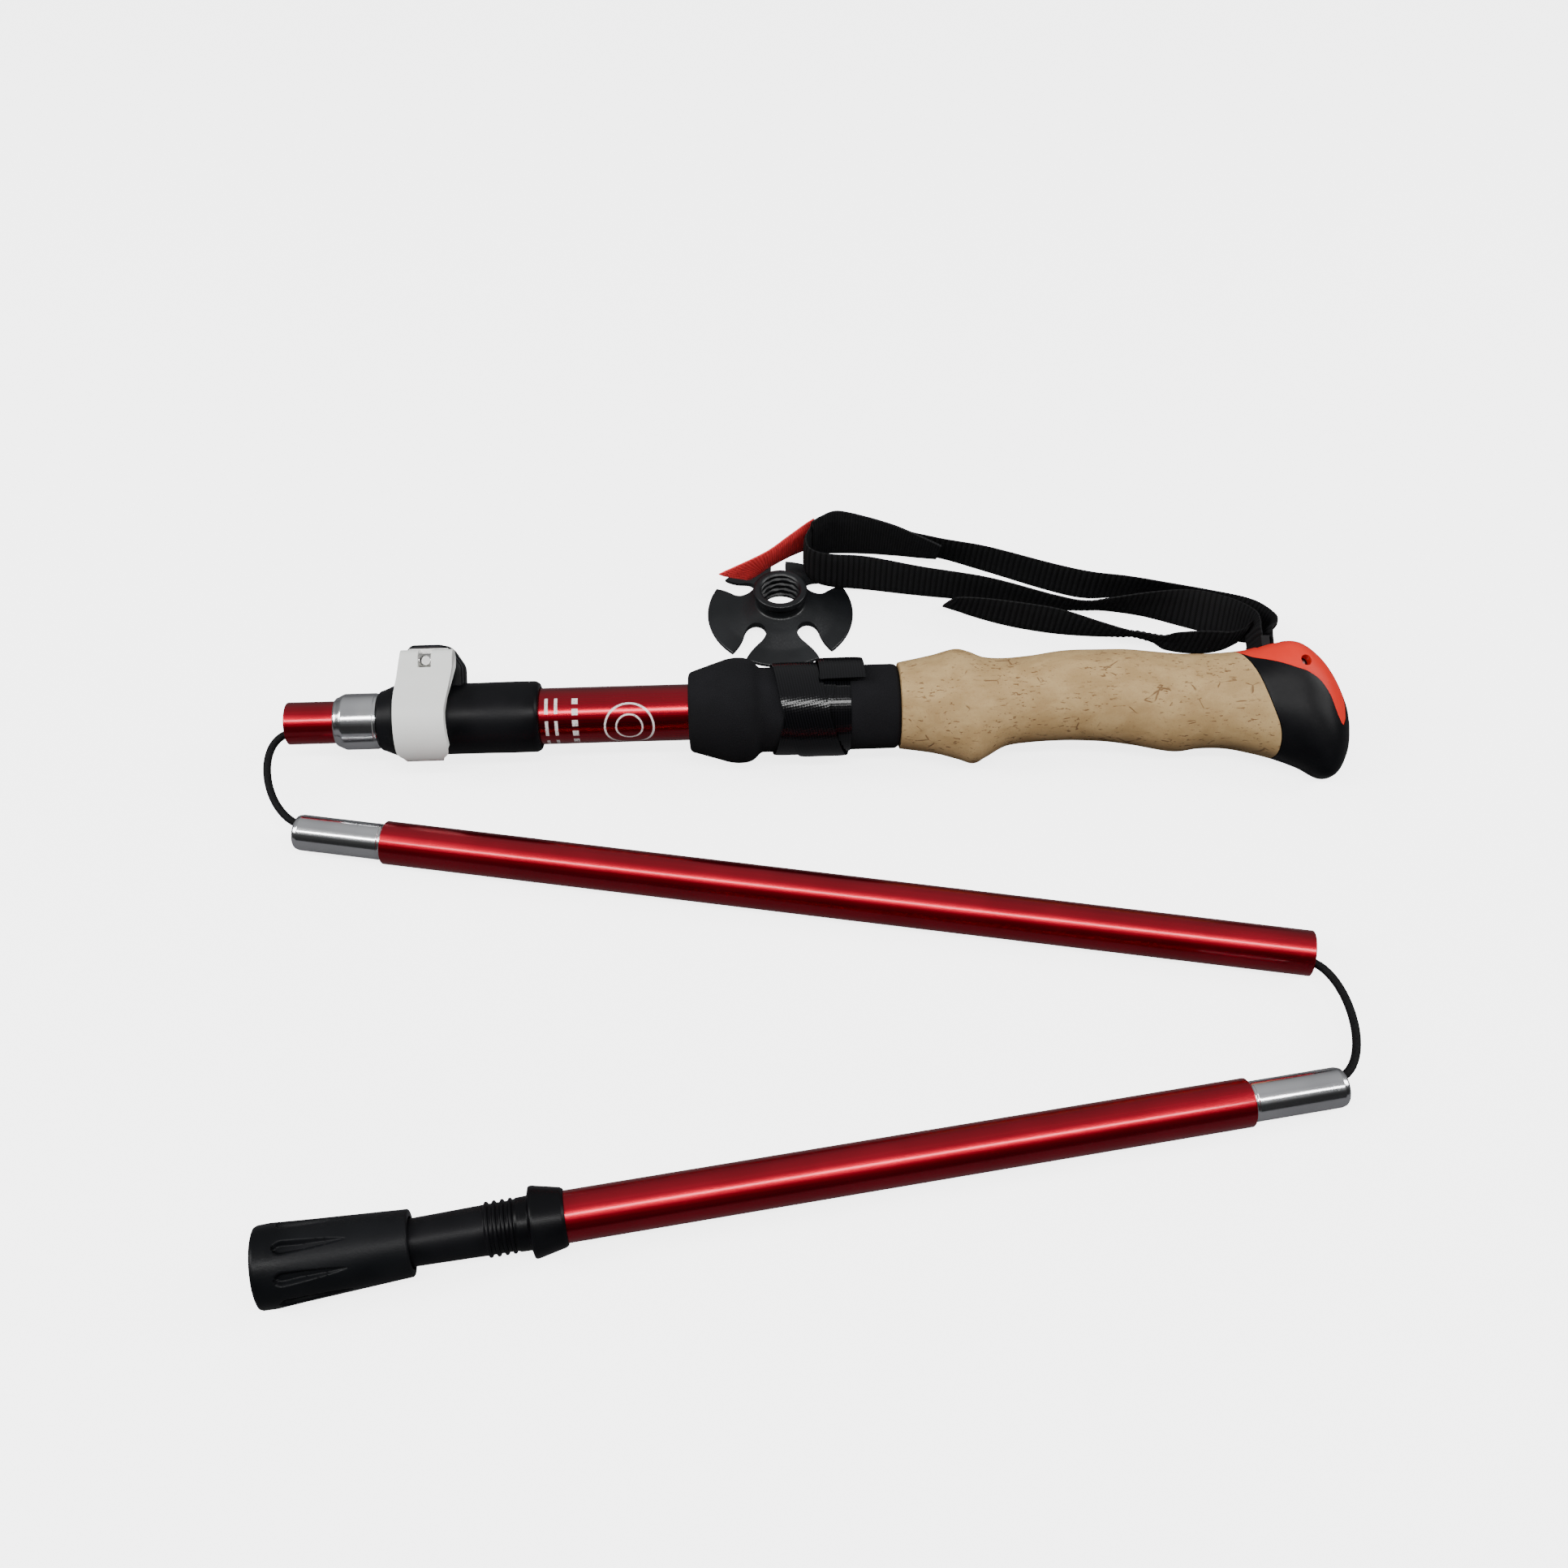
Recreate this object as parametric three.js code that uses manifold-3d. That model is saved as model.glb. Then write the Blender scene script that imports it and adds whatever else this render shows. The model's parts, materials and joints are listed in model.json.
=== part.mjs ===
// Folding trekking pole: a handle section with a telescoping, lever-clamped lower
// tube, a middle and a lower section strung on one elastic cord, a rubber foot, a
// loose mud basket and a wrist strap. It lies on the ground with the two shaft
// sections folded out to one side and the joints open.
//
// Millimetres, +Z up. The handle section's axis runs along +X, towards the grip.
// Every section is built along its own +X axis and then placed as a group.
import * as THREE from 'three';
import { mergeVertices } from 'three/addons/utils/BufferGeometryUtils.js';
import Module from 'manifold-3d';

const wasm = await Module();
wasm.setup();

// ---------------------------------------------------------------- dimensions

const DEGREE = Math.PI / 180;
const SEGMENTS = 24; // facets round a tube
const FINE_SEGMENTS = 16; // facets round a small or hidden piece
const SLIP = 0.3; // gap between pieces that are cut to fit each other

const AXIS_HEIGHT = 19; // handle axis above the ground
const GRIP_ROLL = 28 * DEGREE; // roll of the grip: the beak touches the ground
const CLAMP_ROLL = 41 * DEGREE; // roll of the clamp: its ears point up and back

const SHAFT_RADIUS = 7.15; // socket, middle and lower tubes
const SHAFT_BORE = 6.2;
const FERRULE_RADIUS = 5.95; // plug-in ferrules on the middle and lower tubes
const FERRULE_BORE = 4.9;
const FERRULE_SEATED = 30; // length of a ferrule inside its own tube
const CORD_RADIUS = 1.3;

const UPPER_TUBE = { start: 33.8, end: 322, radius: 9.55, bore: 8.75 };
const INNER_TUBE = { start: 31.5, end: 290, radius: 8.5, bore: 7.8 };
const SOCKET_TUBE_END = 60;
const REDUCER = { start: 16.3, flange: 31.2, end: 46, radius: 9.5, spigot: 7.65 };
const LOCK_BUTTON = { position: 220.5, radius: 2.9, hole: 3.2 };

const SLIT_LENGTH = 36; // slit that lets the upper tube close on the inner one
const COLLAR = { start: 31.5, end: 85.4, radius: 12, bore: 9.75, lip: 8.65, split: 1.6 };
const BARREL = { height: 19.6, forward: 9.2, radius: 2.4, position: 49, halfLength: 6.6 };
const BOLT_RADIUS = 1.5;
const LEVER = { start: 38.6, end: 56.7, eye: 3.7, gap: 0.4, wall: 3.2, notch: 4.4 };

const FOAM = { start: 135.4, end: 206.4, neck: 14.4, bulb: 18, bulbAt: 151.2 };
const BAND = { start: 163.8, end: 187.6, radius: 15.8 };
const GRIP_BORE = 9.75;
const STRAP_PIN = { position: 343.2, height: 8.7, radius: 1.4 };
const WEBBING = { width: 17, thickness: 1.6 };
const PAD_WIDTH = 22;
const TAB_WIDTH = 15;

const MIDDLE = { place: [5.63, -36.9], yaw: -10.41 * DEGREE, ferrule: 30.1, length: 328 };
const LOWER = { place: [326.4, -141.6], yaw: -171.74 * DEGREE, pitch: 0.86 * DEGREE };
const LOWER_LENGTHS = { ferrule: 29.4, tube: 228, rings: 241.9, shaft: 250.7, foot: 270, sole: 311 };
const FOOT_RADIUS = 11.3;

const BASKET = { place: [168.7, 63.6], radius: 27.2, hub: 9.9, bore: 7.1, height: 13.6 };
const NOTCH_ANGLES = [35, 90, 145, 234, 306]; // in degrees; the narrow lobe points to the front

// ------------------------------------------------------------------ materials

const finish = (color, roughness, metalness) =>
  new THREE.MeshStandardMaterial({ color, roughness, metalness });
const RED_ANODISED = finish(0xa0101c, 0.28, 0.9);
const BARE_ALUMINIUM = finish(0xc4c6c9, 0.25, 1);
const STEEL = finish(0x9a9c9f, 0.3, 1);
const BLACK_PLASTIC = finish(0x16171a, 0.5, 0);
const WHITE_PLASTIC = finish(0xd6d8d3, 0.42, 0);
const RED_PLASTIC = finish(0xd92a20, 0.45, 0);
const BLACK_FOAM = finish(0x101012, 0.95, 0);
const CORK = finish(0xc9a06c, 0.85, 0);
const BLACK_RUBBER = finish(0x1a1a1b, 0.7, 0);
const BLACK_WEBBING = finish(0x0d0d0f, 0.8, 0);
const RED_FABRIC = finish(0xd93438, 0.8, 0);
const CORD = finish(0x121212, 0.6, 0);

// -------------------------------------------------------------- solid helpers

// Merge shared vertices, drop collapsed triangles and turn the faces outwards.
function closed(geometry) {
  geometry.deleteAttribute('normal');
  geometry.deleteAttribute('uv');
  const merged = mergeVertices(geometry, 1e-4);
  const position = merged.getAttribute('position');
  const source = merged.getIndex().array;
  const [a, b, c] = [new THREE.Vector3(), new THREE.Vector3(), new THREE.Vector3()];
  const kept = [];
  let volume = 0;
  for (let i = 0; i < source.length; i += 3) {
    const [p, q, r] = [source[i], source[i + 1], source[i + 2]];
    if (p === q || q === r || r === p) continue;
    kept.push([p, q, r]);
    a.fromBufferAttribute(position, p);
    b.fromBufferAttribute(position, q);
    c.fromBufferAttribute(position, r);
    volume += a.dot(b.cross(c));
  }
  const outward = volume > 0 ? kept : kept.map(([p, q, r]) => [p, r, q]);
  const result = new THREE.BufferGeometry();
  result.setAttribute('position', position);
  result.setIndex(outward.flat());
  return result;
}

function toManifold(geometry) {
  const solid = closed(geometry);
  const vertProperties = new Float32Array(solid.getAttribute('position').array);
  const triVerts = new Uint32Array(solid.getIndex().array);
  return new wasm.Manifold(new wasm.Mesh({ numProp: 3, vertProperties, triVerts }));
}

function fromManifold(manifold) {
  const mesh = manifold.getMesh();
  const geometry = new THREE.BufferGeometry();
  geometry.setAttribute('position', new THREE.BufferAttribute(new Float32Array(mesh.vertProperties), 3));
  geometry.setIndex(Array.from(mesh.triVerts));
  return geometry;
}

// Join `added` pieces to a base geometry, then cut the `removed` ones away.
function carve(base, { added = [], removed = [] }) {
  let solid = toManifold(base);
  for (const piece of added) solid = solid.add(toManifold(piece));
  for (const piece of removed) solid = solid.subtract(toManifold(piece));
  return fromManifold(solid);
}

const common = (base, region) => fromManifold(toManifold(base).intersect(toManifold(region)));

// Turn a profile of [axial position, radius] points about the X axis.
function revolve(profile, segments = SEGMENTS) {
  const points = profile.map(([axial, radius]) => new THREE.Vector2(radius, axial));
  if (profile[0][1] > 0) points.push(points[0].clone());
  return closed(new THREE.LatheGeometry(points, segments).rotateZ(-Math.PI / 2));
}

const sleeve = (start, end, radius, bore, segments = SEGMENTS) =>
  revolve([[start, bore], [start, radius], [end, radius], [end, bore]], segments);

const rod = (start, end, radius, segments = FINE_SEGMENTS) =>
  revolve([[start, 0], [start, radius], [end, radius], [end, 0]], segments);

// A rod along Z through (x, y).
const pin = (x, y, low, high, radius) => rod(low, high, radius).rotateY(-Math.PI / 2).translate(x, y, 0);

const block = (low, high) =>
  new THREE.BoxGeometry(high[0] - low[0], high[1] - low[1], high[2] - low[2]).translate(
    (low[0] + high[0]) / 2, (low[1] + high[1]) / 2, (low[2] + high[2]) / 2);

// An outline in the XY plane, extruded from one height to another along Z.
function plate(shape, low, high, curveSegments = 8) {
  const options = { depth: high - low, bevelEnabled: false, curveSegments };
  return closed(new THREE.ExtrudeGeometry(shape, options).translate(0, 0, low));
}

const outline = (points) => new THREE.Shape(points.map(([x, y]) => new THREE.Vector2(x, y)));

// Skin a row of rings, each a list of Vector3, and close both ends with a fan.
function loft(rings) {
  const count = rings[0].length;
  const vertices = rings.flat();
  const triangles = [];
  for (let row = 0; row + 1 < rings.length; row += 1) {
    for (let i = 0; i < count; i += 1) {
      const next = (i + 1) % count;
      const [a, b] = [row * count + i, row * count + next];
      triangles.push(a, b, a + count, b, b + count, a + count);
    }
  }
  for (const row of [0, rings.length - 1]) {
    const centre = new THREE.Vector3();
    for (const point of rings[row]) centre.addScaledVector(point, 1 / count);
    const hub = vertices.push(centre) - 1;
    for (let i = 0; i < count; i += 1) {
      const [a, b] = [row * count + i, row * count + ((i + 1) % count)];
      triangles.push(hub, ...(row === 0 ? [b, a] : [a, b]));
    }
  }
  const geometry = new THREE.BufferGeometry().setFromPoints(vertices);
  geometry.setIndex(triangles);
  return closed(geometry);
}

// A round bar along a curve.
function bar(curve, radius, steps, sides = 6) {
  const section = new THREE.Shape();
  section.absarc(0, 0, radius, 0, 2 * Math.PI, false);
  const options = { steps, extrudePath: curve, curveSegments: sides / 2, bevelEnabled: false };
  return closed(new THREE.ExtrudeGeometry(section, options));
}

const vectors = (points) => points.map(([x, y, z]) => new THREE.Vector3(x, y, z));
const smoothCurve = (points) => new THREE.CatmullRomCurve3(vectors(points), false, 'centripetal');

// A flat strap through keys of [x, y, z, lean]. Its width stands upright where the
// lean is zero, and tips towards +Y by that many degrees elsewhere.
function strap(keys, width, thickness, steps) {
  const path = smoothCurve(keys);
  const leans = new THREE.CatmullRomCurve3(keys.map(([, , , lean]) => new THREE.Vector3(lean, 0, 0)));
  const rings = [];
  for (let i = 0; i <= steps; i += 1) {
    const centre = path.getPoint(i / steps);
    const lean = leans.getPoint(i / steps).x * DEGREE;
    const across = new THREE.Vector3(0, Math.sin(lean), Math.cos(lean));
    const through = path.getTangent(i / steps).cross(across).normalize();
    rings.push([[-1, -1], [1, -1], [1, 1], [-1, 1]].map(([u, v]) =>
      centre.clone().addScaledVector(across, (u * width) / 2).addScaledVector(through, (v * thickness) / 2)));
  }
  return loft(rings);
}

function named(name, geometry, material) {
  const mesh = new THREE.Mesh(geometry, material);
  mesh.name = name;
  return mesh;
}

// -------------------------------------------------------------- handle section

// Grip silhouette: [position, top, bottom, half width], top and bottom from the axis.
const GRIP_STATIONS = [
  [206.8, 14.9, -14.6, 14.6], [218.2, 17.1, -16.5, 15.4], [226.4, 19.1, -18.9, 15.8],
  [231.5, 17.9, -20.5, 15.7], [236, 16, -18.4, 15.2], [243, 15.4, -14.8, 14.4],
  [252, 16, -13.7, 14.2], [264, 17.5, -13.4, 14.4], [276, 17.5, -14.1, 14.8],
  [286, 17.2, -15.6, 15.2], [300, 15.5, -18.4, 15.6], [309, 14.8, -17.6, 15.3],
  [318, 14.7, -17.8, 14.9], [326, 15.3, -19.4, 14.8], [334.5, 17.3, -21.9, 14.7],
  [342.8, 17.6, -25.4, 14.2], [349.5, 13.2, -29.4, 12.2], [354.5, 6.5, -28, 9.4],
  [358.4, -2.3, -21.5, 5.6], [360.3, -9, -14, 1.8],
];
const GRIP_POINTS = 24;

// The section goes from an ellipse at the foam to a flatter-sided egg at the head,
// broad where the strap enters and narrower towards the beak.
const headBlend = (x) => THREE.MathUtils.smoothstep(x, 300, 338);
const rounded = (value, exponent) => Math.sign(value) * Math.abs(value) ** (2 / exponent);

function gripMaster() {
  const profile = new THREE.CatmullRomCurve3(GRIP_STATIONS.map((s) => new THREE.Vector3(s[0], s[1], s[2])));
  const widths = new THREE.CatmullRomCurve3(GRIP_STATIONS.map((s) => new THREE.Vector3(s[0], s[3], 0)));
  const rings = [];
  const steps = GRIP_STATIONS.length - 1;
  for (let i = 0; i <= steps; i += 1) {
    const { x, y: top, z: bottom } = profile.getPoint(i / steps);
    const halfWidth = widths.getPoint(i / steps).y;
    const exponent = 2 + 0.8 * headBlend(x);
    rings.push(Array.from({ length: GRIP_POINTS }, (_, k) => {
      const angle = (2 * Math.PI * k) / GRIP_POINTS;
      const height = (top + bottom) / 2 + ((top - bottom) / 2) * rounded(Math.sin(angle), exponent);
      const breadth = halfWidth * (1 + 0.17 * headBlend(x) * Math.sin(angle));
      return new THREE.Vector3(x, height, breadth * rounded(Math.cos(angle), exponent));
    }));
  }
  return loft(rings);
}

// Side view of the seam between the cork and the moulded head, and of the lower
// edge of the red cap, both drawn as [position, height].
const CORK_SEAM = [
  [317, 22], [321.8, 13], [324.3, 8.5], [327.4, 1.9], [330.7, -7.2], [333.1, -13.8], [333.8, -20], [333, -30],
];
const CAP_EDGE = [
  [316, 15], [321.8, 12.4], [329.7, 9.2], [339.6, 6], [343.8, 4.2], [348.8, 0.3], [352.3, -6.5],
  [354.2, -11.6],
];
const CAP_RIM = [
  [357, -11.6], [357.8, -8.5], [357.8, -5], [356.2, 0.6], [353.6, 5.6], [351.2, 9.6], [348.8, 13],
  [347.2, 30], [316, 30],
];

function sideRegion(seam, rest) {
  const curve = new THREE.SplineCurve(seam.map(([x, y]) => new THREE.Vector2(x, y)));
  const points = [...curve.getPoints(2 * seam.length), ...rest.map(([x, y]) => new THREE.Vector2(x, y))];
  return plate(new THREE.Shape(points), -30, 30);
}

const corkRegion = (gap) => sideRegion(CORK_SEAM, [[200, -30], [200, 22]]).translate(gap, 0, 0);
const capRegion = (right, down) => sideRegion(CAP_EDGE, CAP_RIM).translate(right, -down, 0);

// Pocket for the doubled webbing: a mouth on top of the head and a room round the pin.
const POCKET_HALF = WEBBING.width / 2 + 0.3;
const POCKET = { start: 328.5, mouthEnd: 338, reach: 3.3 };
const strapPocket = () => [
  block([POCKET.start, 10, -POCKET_HALF], [POCKET.mouthEnd, 30, POCKET_HALF]),
  block([POCKET.start, STRAP_PIN.height - POCKET.reach, -POCKET_HALF],
    [STRAP_PIN.position + POCKET.reach, STRAP_PIN.height + POCKET.reach, POCKET_HALF]),
];

const pinHole = (radius) => pin(STRAP_PIN.position, STRAP_PIN.height, -20, 20, radius);

function corkGrip() {
  const body = common(gripMaster(), corkRegion(0));
  return carve(body, { removed: [rod(200, 350, GRIP_BORE, SEGMENTS)] });
}

function gripHead() {
  const plug = rod(UPPER_TUBE.end + SLIP, 338, GRIP_BORE - 0.4, SEGMENTS);
  const spigot = rod(UPPER_TUBE.end - 20, UPPER_TUBE.end + 1, UPPER_TUBE.bore - 0.25, SEGMENTS);
  const shell = carve(gripMaster(), { removed: [corkRegion(SLIP), rod(200, UPPER_TUBE.end + 1, 13)] });
  const removed = [capRegion(0, SLIP), capRegion(SLIP, 0), ...strapPocket()];
  return carve(shell, { added: [plug, spigot], removed });
}

function headCap() {
  const cap = common(gripMaster(), capRegion(0, 0));
  return carve(cap, { removed: [corkRegion(SLIP), ...strapPocket(), pinHole(STRAP_PIN.radius + 0.2)] });
}

function foamGrip() {
  const outer = [
    [FOAM.start, 12.4], [FOAM.start + 0.9, 13.5], [143, 15.7], [148.5, 17.6], [FOAM.bulbAt, FOAM.bulb],
    [154.5, 17.7], [158.2, 16.2], [161, FOAM.neck + 0.4], [163, FOAM.neck], [FOAM.end, FOAM.neck],
  ];
  return revolve([[FOAM.start, GRIP_BORE], ...outer, [FOAM.end, GRIP_BORE]]);
}

function storageBand() {
  const looseEnd = block([178, BAND.radius - 0.5, -1], [195, BAND.radius + 0.8, 9]);
  return carve(sleeve(BAND.start, BAND.end, BAND.radius, FOAM.neck + 0.25), { added: [looseEnd] });
}

function upperTube() {
  const slit = block([UPPER_TUBE.start - 1, 0, -1], [UPPER_TUBE.start + SLIT_LENGTH, COLLAR.radius, 1]);
  const tube = sleeve(UPPER_TUBE.start, UPPER_TUBE.end, UPPER_TUBE.radius, UPPER_TUBE.bore);
  return carve(tube, { removed: [slit] });
}

// --------------------------------------------------------------- clamp

// The two ears that the clamp bolt pulls together, seen from the front.
const EAR_OUTLINE = [
  [41.3, 8], [41.3, 22.6], [43.1, 24.4], [53.3, 24.4], [55.5, 23.2], [59.7, 17.6], [59.7, 8],
];
const EARS = { front: 4.2, back: -6.4 };
const CAM_PLATE = { start: 42.5, end: 55.5, low: 15.4, high: 23.8, thickness: 0.8 };
const NUT = { radius: 4.1, thickness: 3 };

const boltRod = (low, high, radius) => pin(BARREL.position, BARREL.height, low, high, radius);

function clampCollar() {
  const { start, end, radius, bore, lip, split } = COLLAR;
  const body = revolve([
    [start, lip], [start, 10.1], [start + 5.2, radius], [end - 1.4, radius], [end - 0.3, 11.2], [end, 10.4],
    [end, bore], [start + 1.9, bore], [start + 1.9, lip],
  ]);
  const ears = plate(outline(EAR_OUTLINE), EARS.back, EARS.front);
  const gap = block([start - 1, 5, -split / 2], [start + 32, 30, split / 2]);
  const clearBore = rod(start + 1.9, end + 1, bore, SEGMENTS);
  const boltHole = boltRod(-20, 20, BOLT_RADIUS + 0.3);
  return carve(body, { added: [ears], removed: [clearBore, gap, boltHole] });
}

const clampBolt = () => boltRod(EARS.back - NUT.thickness - 1, BARREL.forward + 1.2, BOLT_RADIUS);

function adjusterNut() {
  const top = EARS.back - SLIP;
  const nut = pin(BARREL.position, BARREL.height, top - NUT.thickness, top, NUT.radius);
  return carve(nut, { removed: [boltRod(-20, 0, BOLT_RADIUS + 0.2)] });
}

function camPlate() {
  const { start, end, low, high, thickness } = CAM_PLATE;
  const bottom = EARS.front + 0.1;
  const wear = block([start, low, bottom], [end, high, bottom + thickness]);
  return carve(wear, { removed: [boltRod(0, 9, BOLT_RADIUS + 0.2)] });
}

// Side view of the lever: a pivot eye that runs out into a shell round the collar.
function leverProfile() {
  const inner = COLLAR.radius + LEVER.gap;
  const outer = inner + LEVER.wall;
  const shape = new THREE.Shape();
  shape.moveTo(BARREL.height - 2.6, BARREL.forward - 2.65);
  shape.absarc(BARREL.height, BARREL.forward, LEVER.eye, -135 * DEGREE, 80 * DEGREE, false);
  shape.quadraticCurveTo(12, 14.4, outer * Math.cos(75 * DEGREE), outer * Math.sin(75 * DEGREE));
  shape.absarc(0, 0, outer, 75 * DEGREE, 150 * DEGREE, false);
  shape.lineTo(inner * Math.cos(152 * DEGREE), inner * Math.sin(152 * DEGREE));
  shape.absarc(0, 0, inner, 152 * DEGREE, 62 * DEGREE, true);
  return shape;
}

function clampLever() {
  const rim = 0.5;
  const edge = 0.3;
  const bevel = { bevelThickness: rim, bevelSize: edge, bevelOffset: -edge, bevelSegments: 1 };
  const depth = LEVER.end - LEVER.start - 2 * rim;
  const shell = new THREE.ExtrudeGeometry(leverProfile(), { depth, curveSegments: 10, ...bevel });
  // Stand the (height, forward) profile up so that the extrusion runs along X.
  const turned = new THREE.Matrix4().makeBasis(
    new THREE.Vector3(0, 1, 0), new THREE.Vector3(0, 0, 1), new THREE.Vector3(1, 0, 0));
  shell.applyMatrix4(turned).translate(LEVER.start + rim, 0, 0);
  const bore = rod(-BARREL.halfLength - SLIP, BARREL.halfLength + SLIP, BARREL.radius + 0.2);
  bore.translate(BARREL.position, BARREL.height, BARREL.forward);
  const notchLow = [BARREL.position - LEVER.notch / 2, 17.4, 0];
  const notchHigh = [BARREL.position + LEVER.notch / 2, 30, 20];
  return carve(shell, { removed: [bore, block(notchLow, notchHigh)] });
}

// The cross pin in the lever's eye. It stays with the bolt while the lever turns.
function leverBarrel() {
  const barrel = rod(-BARREL.halfLength, BARREL.halfLength, BARREL.radius);
  barrel.translate(BARREL.position, BARREL.height, BARREL.forward);
  return carve(barrel, { removed: [boltRod(-1, 20, BOLT_RADIUS + 0.25)] });
}

// ------------------------------------------------------- telescoping inner tube

function reducerFerrule() {
  const { start, flange, end, radius, spigot } = REDUCER;
  const bore = SHAFT_RADIUS + 0.15;
  return revolve([
    [start, bore], [start, 7.7], [start + 1, 8.5], [start + 2.6, 9.2], [start + 4.4, radius],
    [flange, radius], [flange, spigot], [end, spigot], [end, bore],
  ]);
}

function innerTube() {
  const tube = sleeve(INNER_TUBE.start, INNER_TUBE.end, INNER_TUBE.radius, INNER_TUBE.bore);
  return carve(tube, { removed: [pin(LOCK_BUTTON.position, 0, 4, 12, LOCK_BUTTON.hole)] });
}

// Plug in the inner tube's end, with a shoulder that slides in the upper tube.
function innerBushing() {
  const { end, bore } = INNER_TUBE;
  const plug = bore - 0.2;
  const shoulder = UPPER_TUBE.bore - 0.2;
  const hole = 5;
  return revolve([
    [end - 8, hole], [end - 8, plug], [end + 0.2, plug],
    [end + 0.2, shoulder], [end + 6, shoulder], [end + 6, hole],
  ]);
}

function lockButton() {
  const button = revolve([
    [5, 0], [5, 3.6], [6, 3.6], [6, LOCK_BUTTON.radius], [7.9, LOCK_BUTTON.radius], [8.3, 2], [8.35, 0],
  ], FINE_SEGMENTS);
  return button.rotateY(-Math.PI / 2).translate(LOCK_BUTTON.position, 0, 0);
}

// Leaf spring under the button, bent like a hairpin.
function buttonSpring() {
  const [near, far] = [LOCK_BUTTON.position - 5, LOCK_BUTTON.position + 14];
  const leaf = outline([
    [near, 3.1], [far, 0.6], [far + 1.4, -1.2], [far, -3], [near, -6], [near, -5.3], [far - 0.4, -2.3],
    [far + 0.5, -1.2], [far - 0.4, -0.1], [near, 2.4],
  ]);
  return plate(leaf, -2.5, 2.5).rotateX(Math.PI / 2);
}

class Helix extends THREE.Curve {
  constructor(start, end, radius, turns) {
    super();
    Object.assign(this, { start, end, radius, turns });
  }

  getPoint(t, target = new THREE.Vector3()) {
    const angle = 2 * Math.PI * this.turns * t;
    const along = this.start + (this.end - this.start) * t;
    return target.set(along, this.radius * Math.cos(angle), this.radius * Math.sin(angle));
  }
}

const SPRING = { start: 72, end: 107, radius: 5, wire: 0.65, turns: 7 };
const springSeat = () =>
  sleeve(SOCKET_TUBE_END + 2, SPRING.start - 0.9, INNER_TUBE.bore - 0.25, CORD_RADIUS + 0.5, FINE_SEGMENTS);
const tensionSpring = () =>
  bar(new Helix(SPRING.start, SPRING.end, SPRING.radius, SPRING.turns), SPRING.wire, SPRING.turns * 10);

// ------------------------------------------------------------------- the cord

const CORD_STOP = { start: 108.2, end: 112.2, radius: 6.8 };
const CORD_START = 20; // how far inside the socket tube the open loop begins
const KNOT_RADIUS = 2.4;
const cordStop = () =>
  sleeve(CORD_STOP.start, CORD_STOP.end, CORD_STOP.radius, CORD_RADIUS + 0.25, FINE_SEGMENTS);

// The run inside the handle section, ending in the knot behind its stop.
const upperCord = () => revolve([
  [CORD_START, 0], [CORD_START, CORD_RADIUS], [CORD_STOP.end + 0.4, CORD_RADIUS],
  [CORD_STOP.end + 1, KNOT_RADIUS], [CORD_STOP.end + 4, KNOT_RADIUS], [CORD_STOP.end + 5, 0],
], 12);

// ------------------------------------------------------ middle and lower section

const ferrule = (exposed) => revolve([
  [0, FERRULE_BORE], [0, FERRULE_RADIUS - 0.7], [0.8, FERRULE_RADIUS],
  [exposed + FERRULE_SEATED, FERRULE_RADIUS], [exposed + FERRULE_SEATED, FERRULE_BORE],
]);

const cordGuide = () => sleeve(3, 9, FERRULE_BORE - 0.15, CORD_RADIUS + 0.4, FINE_SEGMENTS);
const shaftTube = (start, end) => sleeve(start, end, SHAFT_RADIUS, SHAFT_BORE);

const CORD_ANCHOR = { start: 212.4, end: 222 }; // plug that holds the cord's lower end

// Moulded end of the lower tube: a flared collar, the threaded rings that take the
// basket, and the shaft that carries the steel tip.
const RING_COUNT = 4;
const HOLDER = { socket: 12.4, neck: 6.8, ring: 7.5, tubeStop: 5.6, tipBore: 2.7, end: 299.4 };
const TIP = { start: 280, radius: 2.5, end: 303 };

function tipHolder() {
  const { tube, rings, shaft } = LOWER_LENGTHS;
  const pitch = (shaft - rings) / RING_COUNT;
  const ridges = Array.from({ length: RING_COUNT }, (_, i) => [
    [rings + i * pitch, HOLDER.neck],
    [rings + (i + 0.3) * pitch, HOLDER.ring],
    [rings + (i + 0.7) * pitch, HOLDER.ring],
  ]).flat();
  const bore = SHAFT_RADIUS + 0.2;
  return revolve([
    [tube, bore], [tube, 8.1], [tube + 3, 8.5], [tube + 8, 9.2], [rings - 3.2, 9.3], [rings - 1.2, 8.9],
    [rings - 0.4, HOLDER.neck], ...ridges, [shaft, HOLDER.neck], [HOLDER.end - 2, 5.9], [HOLDER.end, 5.2],
    [HOLDER.end, HOLDER.tipBore], [TIP.start - 4, HOLDER.tipBore], [TIP.start - 4, HOLDER.tubeStop],
    [tube + HOLDER.socket, HOLDER.tubeStop], [tube + HOLDER.socket, bore],
  ]);
}

const carbideTip = () => revolve([
  [TIP.start, 0], [TIP.start, TIP.radius], [TIP.end, TIP.radius], [TIP.end + 1.8, 1.8], [TIP.end + 1.2, 0],
], FINE_SEGMENTS);

function rubberFoot() {
  const { foot, sole } = LOWER_LENGTHS;
  const tipPocket = { end: TIP.end + 2, start: TIP.end - 3, radius: 3.4 };
  return revolve([
    [foot, 7.1], [foot, 8.9], [foot + 0.7, 9.2], [sole - 12, 10.7], [sole - 4.6, FOOT_RADIUS],
    [sole - 1.6, FOOT_RADIUS - 0.3], [sole, 9.6], [sole, 0], [tipPocket.end, 0],
    [tipPocket.end, tipPocket.radius], [tipPocket.start, tipPocket.radius], [tipPocket.start, 6.3],
  ]);
}

// ---------------------------------------------------------------------- basket

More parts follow.
